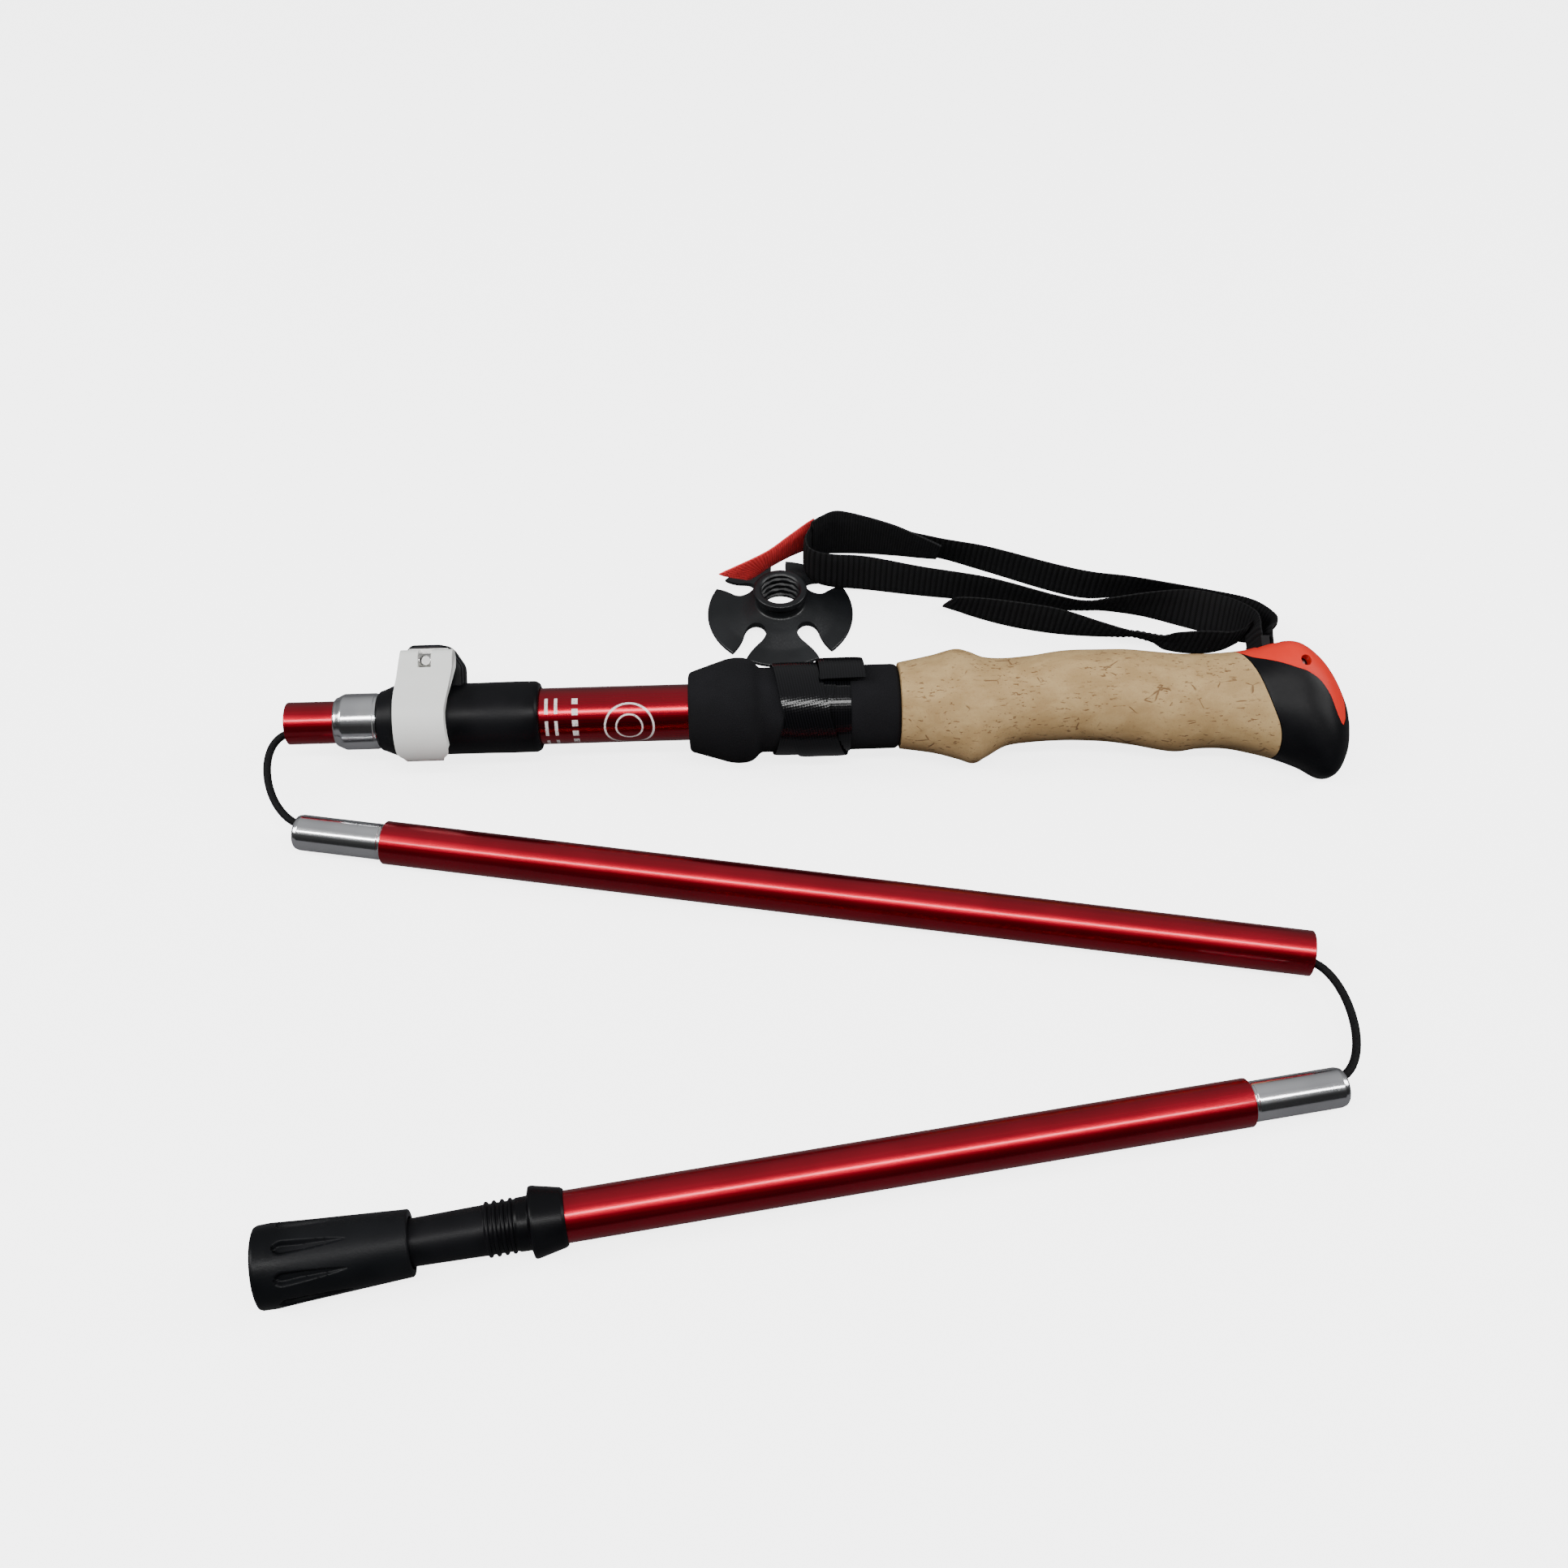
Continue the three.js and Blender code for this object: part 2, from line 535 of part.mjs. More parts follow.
function basket() {
  const { radius, hub, bore, height } = BASKET;
  const dish = revolve([
    [0, bore + 1.6], [height - 10.4, 12], [0, radius], [1.5, radius], [height - 8.2, 13],
    [height - 6.4, hub - 0.9], [height - 2.6, hub - 0.9], [height - 2.2, hub], [height - 0.3, hub],
    [height, hub - 0.5], [height, bore], [1.2, bore],
  ]).rotateY(-Math.PI / 2);
  // Notches between the lobes: a round root that narrows towards the rim.
  const notch = outline([
    [30, -3.4], [30, 3.4], [20, 2.4], [16.6, 3.5], [13.6, 2.6], [12.6, 0], [13.6, -2.6], [16.6, -3.5],
    [20, -2.4],
  ]);
  const notches = NOTCH_ANGLES.map((angle) => plate(notch, -5, 30).rotateZ(angle * DEGREE));
  return carve(dish, { removed: notches });
}

// ----------------------------------------------------------------- wrist strap

// All keys are [x, y, z, lean]. The strap rests on edge on the ground, and its far end
// lies over a lobe of the basket.
const strapWebbing = () => strap([
  [334.8, 19.4, 9.6, -28], [338.6, 25.5, 5.5, -22], [340.6, 34, -1, -12], [337, 46, -7, -10],
  [326, 58.5, -10.8, -28], [312, 64.4, -11.2, -34], [296.5, 64.6, -10.2, -19], [270, 70.2, -9.9, -11],
  [247, 80.9, -9.9, -15], [230, 87, -9.7, -22], [212.4, 91.8, -9.5, -15], [191, 96.8, -9.4, -4],
  [184, 95, -9, -6], [180.4, 89, -7.6, -8], [178.8, 82, -6, -8], [180.5, 75.5, -5.2, -6],
  [187, 73, -6.2, -2], [201, 73.6, -8.8, 0], [221, 69.7, -9.8, -7], [245, 64.6, -9.9, -14],
  [268.4, 57.9, -10.6, -27], [280.2, 56, -11, -33], [290.3, 56.2, -10.8, -28], [305, 54.8, -10.1, -12],
  [319.6, 51, -9.5, 10], [330.5, 43.5, -7, 14], [335, 33.5, -1, 0], [333.6, 26, 4.5, -18],
  [331, 20.4, 9.1, -28],
], WEBBING.width, WEBBING.thickness, 60);

const strapTail = () => strap([
  [332, 30.2, 0, -20], [330.6, 32.4, -5, -22], [326.6, 34.4, -9.4, -18], [319, 35.2, -10.3, -15],
  [309.6, 36.3, -10.7, -22], [298, 41.1, -11.8, -38], [283, 43.8, -10.8, -26], [268.7, 47.4, -10.1, -13],
  [254.3, 51.3, -10.1, -13], [242, 55.2, -10.4, -20], [231, 59, -11.2, -32],
], WEBBING.width, WEBBING.thickness, 26);

const wristPad = () => strap([
  [229.4, 83.2, -8, -23], [222.4, 85.4, -7.5, -19], [212.4, 88.4, -7.2, -14], [202.3, 91.2, -7, -9],
  [191.3, 93, -6.9, -4], [187.6, 92.6, -6.9, -4],
], PAD_WIDTH, 2.2, 14);

const strapTab = () => strap([
  [179.4, 92, -7.2, -6], [172, 86.4, -6.4, -14], [164, 78.8, -5.6, -20], [152, 70.2, -5.4, -14],
], TAB_WIDTH, 1.8, 10);

// The webbing inside the head, doubled round the pin.
function strapAnchor() {
  const { position, height } = STRAP_PIN;
  const loop = 2.6;
  const mouth = { near: 330.4, far: 333.2, top: 19 };
  const bend = new THREE.Shape();
  bend.moveTo(mouth.far, mouth.top);
  bend.lineTo(mouth.far, height + loop);
  bend.lineTo(position, height + loop);
  bend.absarc(position, height, loop, 90 * DEGREE, -90 * DEGREE, true);
  bend.lineTo(mouth.near + 4, height - loop);
  bend.lineTo(mouth.near, height);
  bend.lineTo(mouth.near, mouth.top);
  const eye = new THREE.Path();
  eye.absarc(position, height, STRAP_PIN.radius + 0.15, 0, 2 * Math.PI, false);
  bend.holes.push(eye);
  return plate(bend, -WEBBING.width / 2, WEBBING.width / 2);
}

// -------------------------------------------------------------------- assembly

const pole = new THREE.Group();

function section(position, [roll, pitch, yaw], meshes) {
  const group = new THREE.Group();
  group.position.set(...position);
  group.rotation.set(roll, pitch, yaw, 'ZYX');
  group.add(...meshes);
  pole.add(group);
}

const ORIGIN = [0, 0, 0];

section(ORIGIN, [GRIP_ROLL, 0, 0], [
  named('foam_grip', foamGrip(), BLACK_FOAM),
  named('cork_grip', corkGrip(), CORK),
  named('grip_head', gripHead(), BLACK_PLASTIC),
  named('head_cap', headCap(), RED_PLASTIC),
  named('strap_pin', pin(STRAP_PIN.position, STRAP_PIN.height, -10.4, 10.4, STRAP_PIN.radius), STEEL),
  named('strap_anchor', strapAnchor(), BLACK_WEBBING),
]);

section(ORIGIN, [CLAMP_ROLL, 0, 0], [
  named('upper_tube', upperTube(), RED_ANODISED),
  named('storage_band', storageBand(), BLACK_WEBBING),
  named('clamp_collar', clampCollar(), BLACK_PLASTIC),
  named('clamp_bolt', clampBolt(), STEEL),
  named('adjuster_nut', adjusterNut(), STEEL),
  named('cam_plate', camPlate(), STEEL),
  named('clamp_lever', clampLever(), WHITE_PLASTIC),
  named('lever_barrel', leverBarrel(), STEEL),
  named('inner_tube', innerTube(), BARE_ALUMINIUM),
  named('reducer_ferrule', reducerFerrule(), BARE_ALUMINIUM),
  named('socket_tube', shaftTube(0, SOCKET_TUBE_END), RED_ANODISED),
  named('inner_bushing', innerBushing(), BLACK_PLASTIC),
  named('lock_button', lockButton(), STEEL),
  named('button_spring', buttonSpring(), STEEL),
  named('spring_seat', springSeat(), BLACK_PLASTIC),
  named('tension_spring', tensionSpring(), STEEL),
  named('cord_stop', cordStop(), BLACK_PLASTIC),
  named('upper_cord', upperCord(), CORD),
]);

const LOWER_LOOP_START = MIDDLE.length - 37.6; // leaves room for the lower ferrule to plug in
const middleRest = SHAFT_RADIUS - AXIS_HEIGHT;
section([...MIDDLE.place, middleRest], [0, 0, MIDDLE.yaw], [
  named('middle_ferrule', ferrule(MIDDLE.ferrule), BARE_ALUMINIUM),
  named('middle_cord_guide', cordGuide(), BLACK_PLASTIC),
  named('middle_tube', shaftTube(MIDDLE.ferrule, MIDDLE.length), RED_ANODISED),
  named('middle_cord', rod(2.6, LOWER_LOOP_START - 0.4, CORD_RADIUS, 12), CORD),
]);

// The lower section rests on its tube's open end and on the wider rubber foot.
const lowerRest = middleRest - LOWER_LENGTHS.ferrule * Math.sin(LOWER.pitch);
const lowerTubeEnd = LOWER_LENGTHS.tube + HOLDER.socket - 0.4;
section([...LOWER.place, lowerRest], [0, -LOWER.pitch, LOWER.yaw], [
  named('lower_ferrule', ferrule(LOWER_LENGTHS.ferrule), BARE_ALUMINIUM),
  named('lower_cord_guide', cordGuide(), BLACK_PLASTIC),
  named('lower_tube', shaftTube(LOWER_LENGTHS.ferrule, lowerTubeEnd), RED_ANODISED),
  named('lower_cord', rod(2.6, CORD_ANCHOR.start - 0.4, CORD_RADIUS, 12), CORD),
  named('cord_anchor', rod(CORD_ANCHOR.start, CORD_ANCHOR.end, SHAFT_BORE - 0.2), BLACK_PLASTIC),
  named('tip_holder', tipHolder(), BLACK_PLASTIC),
  named('carbide_tip', carbideTip(), STEEL),
  named('rubber_foot', rubberFoot(), BLACK_RUBBER),
]);

section([...BASKET.place, -AXIS_HEIGHT], [0, 0, 0], [named('mud_basket', basket(), BLACK_PLASTIC)]);

// The cord's open loops between the sections, and the strap, lie in the pole's frame.
const upperLoop = smoothCurve([
  [CORD_START - 0.6, 0, 0], [8, -1, -0.4], [0, -3.4, -1.4], [-5.2, -10, -3.8], [-7, -20, -7.2],
  [-4.6, -28.6, -10], [1.4, -34.4, -11.2], [7.6, -37, middleRest],
]);
const insideMiddle = (along) => [
  MIDDLE.place[0] + along * Math.cos(MIDDLE.yaw), MIDDLE.place[1] + along * Math.sin(MIDDLE.yaw), middleRest];
const lowerLoop = smoothCurve([
  insideMiddle(LOWER_LOOP_START), insideMiddle(MIDDLE.length - 20), insideMiddle(MIDDLE.length - 3),
  [332.4, -99, -11.8], [337.8, -107, -12.3], [340.4, -119, -12.6], [337.4, -132, -12.6],
  [331.6, -139.4, -12.3], [324.4, -141.9, lowerRest],
]);
section(ORIGIN, [0, 0, 0], [
  named('upper_cord_loop', bar(upperLoop, CORD_RADIUS, 24), CORD),
  named('lower_cord_loop', bar(lowerLoop, CORD_RADIUS, 24), CORD),
  named('strap_webbing', strapWebbing(), BLACK_WEBBING),
  named('strap_tail', strapTail(), BLACK_WEBBING),
  named('wrist_pad', wristPad(), BLACK_WEBBING),
  named('strap_tab', strapTab(), RED_FABRIC),
]);

// Stand the pole on the ground, with the origin under the middle of its footprint.
const bounds = new THREE.Box3().setFromObject(pole, true);
const middlePoint = bounds.getCenter(new THREE.Vector3());
pole.position.set(-middlePoint.x, -middlePoint.y, -bounds.min.z);

export default pole;
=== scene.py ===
"""Folding trekking pole: the looks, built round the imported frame."""

import json
import math

import bmesh
import bpy
import numpy as np
from mathutils import Matrix, Vector

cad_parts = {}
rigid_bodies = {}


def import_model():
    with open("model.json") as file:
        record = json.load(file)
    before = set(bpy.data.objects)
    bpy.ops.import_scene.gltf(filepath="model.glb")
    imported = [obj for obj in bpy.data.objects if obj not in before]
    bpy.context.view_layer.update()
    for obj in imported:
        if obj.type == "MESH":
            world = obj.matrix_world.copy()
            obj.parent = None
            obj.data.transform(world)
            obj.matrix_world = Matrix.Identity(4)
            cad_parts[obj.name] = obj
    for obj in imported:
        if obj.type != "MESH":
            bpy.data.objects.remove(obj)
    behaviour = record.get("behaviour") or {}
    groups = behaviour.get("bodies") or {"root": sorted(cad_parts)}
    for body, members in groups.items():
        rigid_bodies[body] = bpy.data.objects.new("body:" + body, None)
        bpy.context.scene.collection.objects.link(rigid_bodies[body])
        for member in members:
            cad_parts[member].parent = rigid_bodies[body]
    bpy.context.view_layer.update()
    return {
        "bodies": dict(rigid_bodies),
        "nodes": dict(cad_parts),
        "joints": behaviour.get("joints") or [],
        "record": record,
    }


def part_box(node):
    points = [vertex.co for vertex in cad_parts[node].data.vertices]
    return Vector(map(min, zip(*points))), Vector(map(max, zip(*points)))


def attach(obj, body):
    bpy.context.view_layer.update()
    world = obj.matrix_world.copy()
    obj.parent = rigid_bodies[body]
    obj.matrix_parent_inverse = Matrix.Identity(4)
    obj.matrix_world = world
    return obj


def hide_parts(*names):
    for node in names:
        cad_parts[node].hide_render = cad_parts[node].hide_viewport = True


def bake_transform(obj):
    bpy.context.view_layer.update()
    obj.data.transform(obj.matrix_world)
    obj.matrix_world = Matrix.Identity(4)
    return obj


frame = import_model()

MM = 0.001
TAU = 2 * math.pi
JOINTS = {j["name"]: j for j in frame["joints"]}
NODES = frame["nodes"]

# --- frames


def axis_of(joint):
    return Vector(JOINTS[joint]["axis"]).normalized()


def node_points(node):
    return np.array([v.co for v in NODES[node].data.vertices])


def basis(origin, x_axis, z_hint):
    """A frame at origin whose X runs along x_axis and whose Z leans towards z_hint."""
    x = Vector(x_axis).normalized()
    y = Vector(z_hint).cross(x).normalized()
    z = x.cross(y)
    rotation = Matrix((x, y, z)).transposed().to_4x4()
    return Matrix.Translation(origin) @ rotation


def section_frame(node, direction):
    """The frame of a round node: its origin is where the node starts along direction."""
    points = node_points(node)
    centre = Vector(points.mean(axis=0))
    start = min(Vector(p).dot(direction) for p in points)
    return basis(centre + (start - centre.dot(direction)) * direction, direction, (0, 0, 1))


low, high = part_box("socket_tube")
MOUTH = Vector((low.x, (low.y + high.y) / 2, (low.z + high.z) / 2))
PIN_AXIS = -axis_of("strap_swing")
FRONT = -axis_of("button_press")
POLE = basis(MOUTH, (1, 0, 0), (0, 0, 1))
GRIP = basis(MOUTH, (1, 0, 0), PIN_AXIS)
CLAMP = basis(MOUTH, (1, 0, 0), FRONT)
MIDDLE = section_frame("middle_ferrule", -axis_of("lower_plug"))
LOWER = section_frame("lower_ferrule", axis_of("foot_pull"))

# --- node helpers


class Nodes:
    """A material's node tree, with one short method for each kind of node used."""

    def __init__(self, name):
        self.material = bpy.data.materials.new(name)
        self.material.use_nodes = True
        self.tree = self.material.node_tree
        self.bsdf = self.tree.nodes["Principled BSDF"]
        coordinates = self.tree.nodes.new("ShaderNodeTexCoord")
        self.object = coordinates.outputs["Object"]

    def link(self, value, socket):
        if isinstance(value, bpy.types.NodeSocket):
            self.tree.links.new(value, socket)
        else:
            socket.default_value = value

    def set(self, **inputs):
        for key, value in inputs.items():
            self.link(value, self.bsdf.inputs[key.replace("_", " ")])

    def scaled(self, vector, scale):
        node = self.tree.nodes.new("ShaderNodeMapping")
        self.link(vector, node.inputs["Vector"])
        node.inputs["Scale"].default_value = scale
        return node.outputs["Vector"]

    def noise(self, vector, scale, detail=3.0, roughness=0.5, distortion=0.0):
        node = self.tree.nodes.new("ShaderNodeTexNoise")
        self.link(vector, node.inputs["Vector"])
        node.inputs["Scale"].default_value = scale
        node.inputs["Detail"].default_value = detail
        node.inputs["Roughness"].default_value = roughness
        node.inputs["Distortion"].default_value = distortion
        return node.outputs["Fac"]

    def voronoi(self, vector, scale, feature="F1"):
        node = self.tree.nodes.new("ShaderNodeTexVoronoi")
        node.feature = feature
        self.link(vector, node.inputs["Vector"])
        node.inputs["Scale"].default_value = scale
        return node.outputs["Distance"]

    def math(self, operation, a, b=0.0):
        node = self.tree.nodes.new("ShaderNodeMath")
        node.operation = operation
        self.link(a, node.inputs[0])
        self.link(b, node.inputs[1])
        return node.outputs[0]

    def times(self, a, b):
        return self.math("MULTIPLY", a, b)

    def plus(self, a, b):
        return self.math("ADD", a, b)

    def ramp(self, value, low, high, out_low=0.0, out_high=1.0):
        """value taken smoothly from the range low..high to out_low..out_high."""
        node = self.tree.nodes.new("ShaderNodeMapRange")
        node.interpolation_type = "SMOOTHSTEP"
        keys = ("Value", "From Min", "From Max", "To Min", "To Max")
        for key, item in zip(keys, (value, low, high, out_low, out_high)):
            self.link(item, node.inputs[key])
        return node.outputs["Result"]

    def mix(self, factor, a, b):
        node = self.tree.nodes.new("ShaderNodeMix")
        node.data_type = "RGBA"
        self.link(factor, node.inputs["Factor"])
        self.link(opaque(a), node.inputs["A"])
        self.link(opaque(b), node.inputs["B"])
        return node.outputs["Result"]

    def split(self, vector):
        node = self.tree.nodes.new("ShaderNodeSeparateXYZ")
        self.link(vector, node.inputs["Vector"])
        return node.outputs["X"], node.outputs["Y"], node.outputs["Z"]

    def attribute(self, name):
        node = self.tree.nodes.new("ShaderNodeAttribute")
        node.attribute_name = name
        return node.outputs["Fac"]

    def bump(self, height, distance, strength):
        node = self.tree.nodes.new("ShaderNodeBump")
        node.inputs["Distance"].default_value = distance
        node.inputs["Strength"].default_value = strength
        self.link(height, node.inputs["Height"])
        return node.outputs["Normal"]


def opaque(colour):
    """An RGB triple as RGBA; sockets pass through."""
    if isinstance(colour, tuple) and len(colour) == 3:
        return (*colour, 1.0)
    return colour


# --- materials


def drawn_metal(name, colour, dark, roughness, coat=0.0, line_scale=1500):
    """Tube stock: fine lines drawn along X, a little handling wear."""
    n = Nodes(name)
    lines = n.noise(n.scaled(n.object, (4, line_scale, line_scale)), 1.0, detail=2)
    broad = n.noise(n.object, 60, detail=2)
    scuffs = n.ramp(n.noise(n.scaled(n.object, (900, 260, 260)), 1.0, detail=4), 0.66, 0.72)
    drawn = n.ramp(lines, 0.3, 0.7, roughness, roughness + 0.05)
    n.set(
        Base_Color=n.mix(n.ramp(broad, 0.3, 0.7), dark, colour),
        Metallic=1.0,
        Roughness=n.plus(drawn, n.times(scuffs, 0.04)),
        Coat_Weight=coat,
        Coat_Roughness=0.12,
        Normal=n.bump(lines, 0.01 * MM, 0.15),
    )
    return n


def printed_red(name):
    """Red anodising with a plain generic print, along the tube: two columns of thin bars,
    a column of small blocks and two rings round one centre."""
    n = drawn_metal(name, RED_TONE, RED_DEEP, 0.24, coat=RED_COAT)
    x, y, z = n.split(n.object)
    around = n.times(n.math("ARCTAN2", y, z), UPPER_RADIUS)
    edge = 0.12 * MM

    def between(value, lower, upper):
        rise = n.ramp(value, lower - edge, lower + edge)
        fall = n.ramp(value, upper - edge, upper + edge, 1.0, 0.0)
        return n.times(rise, fall)

    marks = 0.0
    # In mm: position, width along the tube, height round it and pitch; then the count.
    columns = ((88, 1.1, 5.6, 8, 3), (91.2, 1.1, 5.6, 8, 3), (97.5, 2, 2.2, 3.8, 6))
    for *sizes, count in columns:
        column, width, height, pitch = (MM * size for size in sizes)
        for k in range(count):
            centre = PRINT_MIDDLE + (k - (count - 1) / 2) * pitch
            strip = between(around, centre - height / 2, centre + height / 2)
            block = n.times(between(x, column - width / 2, column + width / 2), strip)
            marks = n.math("MAXIMUM", marks, block)
    along = n.math("SUBTRACT", x, 115.5 * MM)
    aside = n.math("SUBTRACT", around, PRINT_MIDDLE)
    squares = n.plus(n.times(along, along), n.times(aside, aside))
    distance = n.math("SQRT", squares)
    for inner, outer in ((7.8, 8.5), (4.1, 4.7)):
        marks = n.math("MAXIMUM", marks, between(distance, inner * MM, outer * MM))
    worn = n.times(marks, n.ramp(n.noise(n.object, 2600, detail=3), 0.32, 0.42))
    base = n.bsdf.inputs["Base Color"].links[0].from_socket
    bare = n.math("SUBTRACT", 1.0, worn)
    n.set(
        Base_Color=n.mix(worn, base, (0.8, 0.78, 0.76)),
        Metallic=bare,
        Coat_Weight=n.times(bare, RED_COAT),
    )
    return n


def moulded(name, colour, light, roughness, grain=1800, depth=0.03 * MM, shine=0.12):
    """Moulded plastic or rubber: fine surface grain, faint tone changes, dusty scuffs."""
    n = Nodes(name)
    fine = n.noise(n.object, grain, detail=2, roughness=0.6)
    broad = n.noise(n.object, 45, detail=3)
    dust = n.ramp(n.noise(n.object, 900, detail=5, roughness=0.7), 0.64, 0.78)
    tone = n.mix(n.ramp(broad, 0.35, 0.7), colour, light)
    pale = tuple(min(1.0, 1.35 * c + 0.012) for c in light)
    n.set(
        Base_Color=n.mix(n.times(dust, 0.5), tone, pale),
        Roughness=n.ramp(broad, 0.3, 0.7, roughness - 0.05, roughness + 0.06),
        Specular_IOR_Level=shine,
        Normal=n.bump(fine, depth, 0.6),
    )
    return n


def cork(name):
    """Pressed natural cork: fine speckles, short dark dashes, and a few curved pore lines."""
    n = Nodes(name)
    soft = n.noise(n.scaled(n.object, (1.0, 1.6, 1.6)), 90, detail=4, roughness=0.6, distortion=0.4)
    broad = n.noise(n.object, 26, detail=2)
    speck = n.noise(n.object, 1500, detail=4, roughness=0.75)
    tone = n.mix(n.ramp(soft, 0.34, 0.68), (0.37, 0.24, 0.105), (0.47, 0.32, 0.15))
    tone = n.mix(n.times(n.ramp(broad, 0.4, 0.66), 0.35), tone, (0.43, 0.29, 0.135))
    tone = n.mix(n.ramp(speck, 0.54, 0.7, 0.0, 0.5), tone, (0.3, 0.165, 0.065))
    # Short dashes along the grip, denser in some patches than in others.
    dash_noise = n.noise(n.scaled(n.object, (420, 1150, 1150)), 1.0, detail=2, roughness=0.6)
    patch = n.ramp(n.noise(n.object, 75, detail=2), 0.36, 0.6)
    dashes = n.times(n.ramp(dash_noise, 0.61, 0.65), patch)
    # Curved pore lines: the edges between large cork grains, shown only here and there.
    bent = n.noise(n.object, 160, detail=2, distortion=1.2)
    grain = n.voronoi(n.scaled(n.object, (110, 180, 180)), 1.0, feature="DISTANCE_TO_EDGE")
    edge = n.plus(grain, n.times(n.math("SUBTRACT", bent, 0.5), 0.12))
    here = n.ramp(n.noise(n.object, 170, detail=1), 0.6, 0.64)
    lines = n.times(n.ramp(n.math("ABSOLUTE", edge), 0.0, 0.05, 1.0, 0.0), here)
    marks = n.math("MAXIMUM", n.times(dashes, 0.75), n.times(lines, 0.8))
    height = n.math("SUBTRACT", n.times(speck, 0.25), marks)
    n.set(
        Base_Color=n.mix(marks, tone, (0.12, 0.055, 0.02)),
        Roughness=n.ramp(speck, 0.3, 0.7, 0.72, 0.9),
        Specular_IOR_Level=0.3,
        Normal=n.bump(height, 0.22 * MM, 0.5),
    )
    return n


def foam(name):
    """Closed-cell foam: small cells and a little lint."""
    n = Nodes(name)
    cells = n.voronoi(n.object, 2600)
    fine = n.noise(n.object, 1400, detail=3)
    lint = n.ramp(n.noise(n.object, 1100, detail=6, roughness=0.8), 0.7, 0.8)
    tone = n.mix(n.ramp(n.noise(n.object, 35), 0.3, 0.7), (0.005, 0.005, 0.006), (0.01, 0.01, 0.012))
    n.set(
        Base_Color=n.mix(n.times(lint, 0.35), tone, (0.05, 0.05, 0.055)),
        Roughness=0.9,
        Specular_IOR_Level=0.16,
        Normal=n.bump(n.plus(cells, fine), 0.12 * MM, 0.5),
    )
    return n


def woven(name, colour, light, roughness, pitch, rib):
    """Woven tape, by its own length and width: ribs across it and fine yarns along it, with painted shade in
    the troughs between them.
    """
    n = Nodes(name)
    along, across = n.attribute("along"), n.attribute("across")
    ribs = n.math("SINE", n.times(along, TAU / rib))
    yarn_u = n.math("SINE", n.times(across, TAU / pitch))
    yarn_v = n.math("SINE", n.times(along, TAU / pitch))
    weave = n.times(yarn_u, yarn_v)
    fuzz = n.noise(n.object, 2400, detail=4, roughness=0.7)
    yarns = n.plus(weave, n.times(fuzz, 0.9))
    height = n.plus(n.times(ribs, 0.7), yarns)
    # Painted shade: the colour is darker in the troughs between ribs and between yarns, and lighter on their
    # crests.
    painted_weave_shade = n.times(n.ramp(ribs, -1.0, 0.4), n.ramp(weave, -1.0, 0.6, 0.55, 1.0))
    n.set(
        Base_Color=n.mix(painted_weave_shade, colour, light),
        Roughness=roughness,
        Specular_IOR_Level=0.2,
        Normal=n.bump(height, 0.12 * MM, 0.7),
    )
    return n


def glossy_band(name, colour, pitch):
    """Smooth nylon tape with fine ridges along it, painted shade between the ridges, and a sharp highlight.
    """
    n = Nodes(name)
    ridges = n.math("SINE", n.times(n.attribute("across"), TAU / pitch))
    yarns = n.math("SINE", n.times(n.attribute("along"), TAU / pitch))
    fuzz = n.noise(n.object, 2400, detail=4, roughness=0.7)
    fine = n.plus(n.times(yarns, 0.35), n.times(fuzz, 0.5))
    # Painted shade: the colour is darker between the ridges and lighter on their crests.
    n.set(
        Base_Color=n.mix(n.ramp(ridges, -1.0, 1.0), colour, tuple(3 * c for c in colour)),
        Roughness=n.ramp(fuzz, 0.35, 0.65, 0.1, 0.2),
        Specular_IOR_Level=0.3,
        Normal=n.bump(n.plus(ridges, fine), 0.03 * MM, 0.5),
    )
    return n


def braided(name):
    """Elastic cord: the rounds of its braid."""
    n = Nodes(name)
    strands = n.voronoi(n.object, 1500)
    tone = n.mix(n.ramp(strands, 0.1, 0.6), (0.002, 0.002, 0.0022), (0.006, 0.006, 0.0066))
    n.set(
        Base_Color=tone,
        Roughness=0.7,
        Specular_IOR_Level=0.12,
        Normal=n.bump(strands, 0.15 * MM, 0.6),
    )
    return n


RED_TONE = (0.42, 0.004, 0.02)
RED_DEEP = (0.36, 0.003, 0.016)
RED_COAT = 0.5
UPPER_RADIUS = 9.55 * MM
# The print's middle line, measured round the tube from its front.
PRINT_MIDDLE = -4.5 * MM

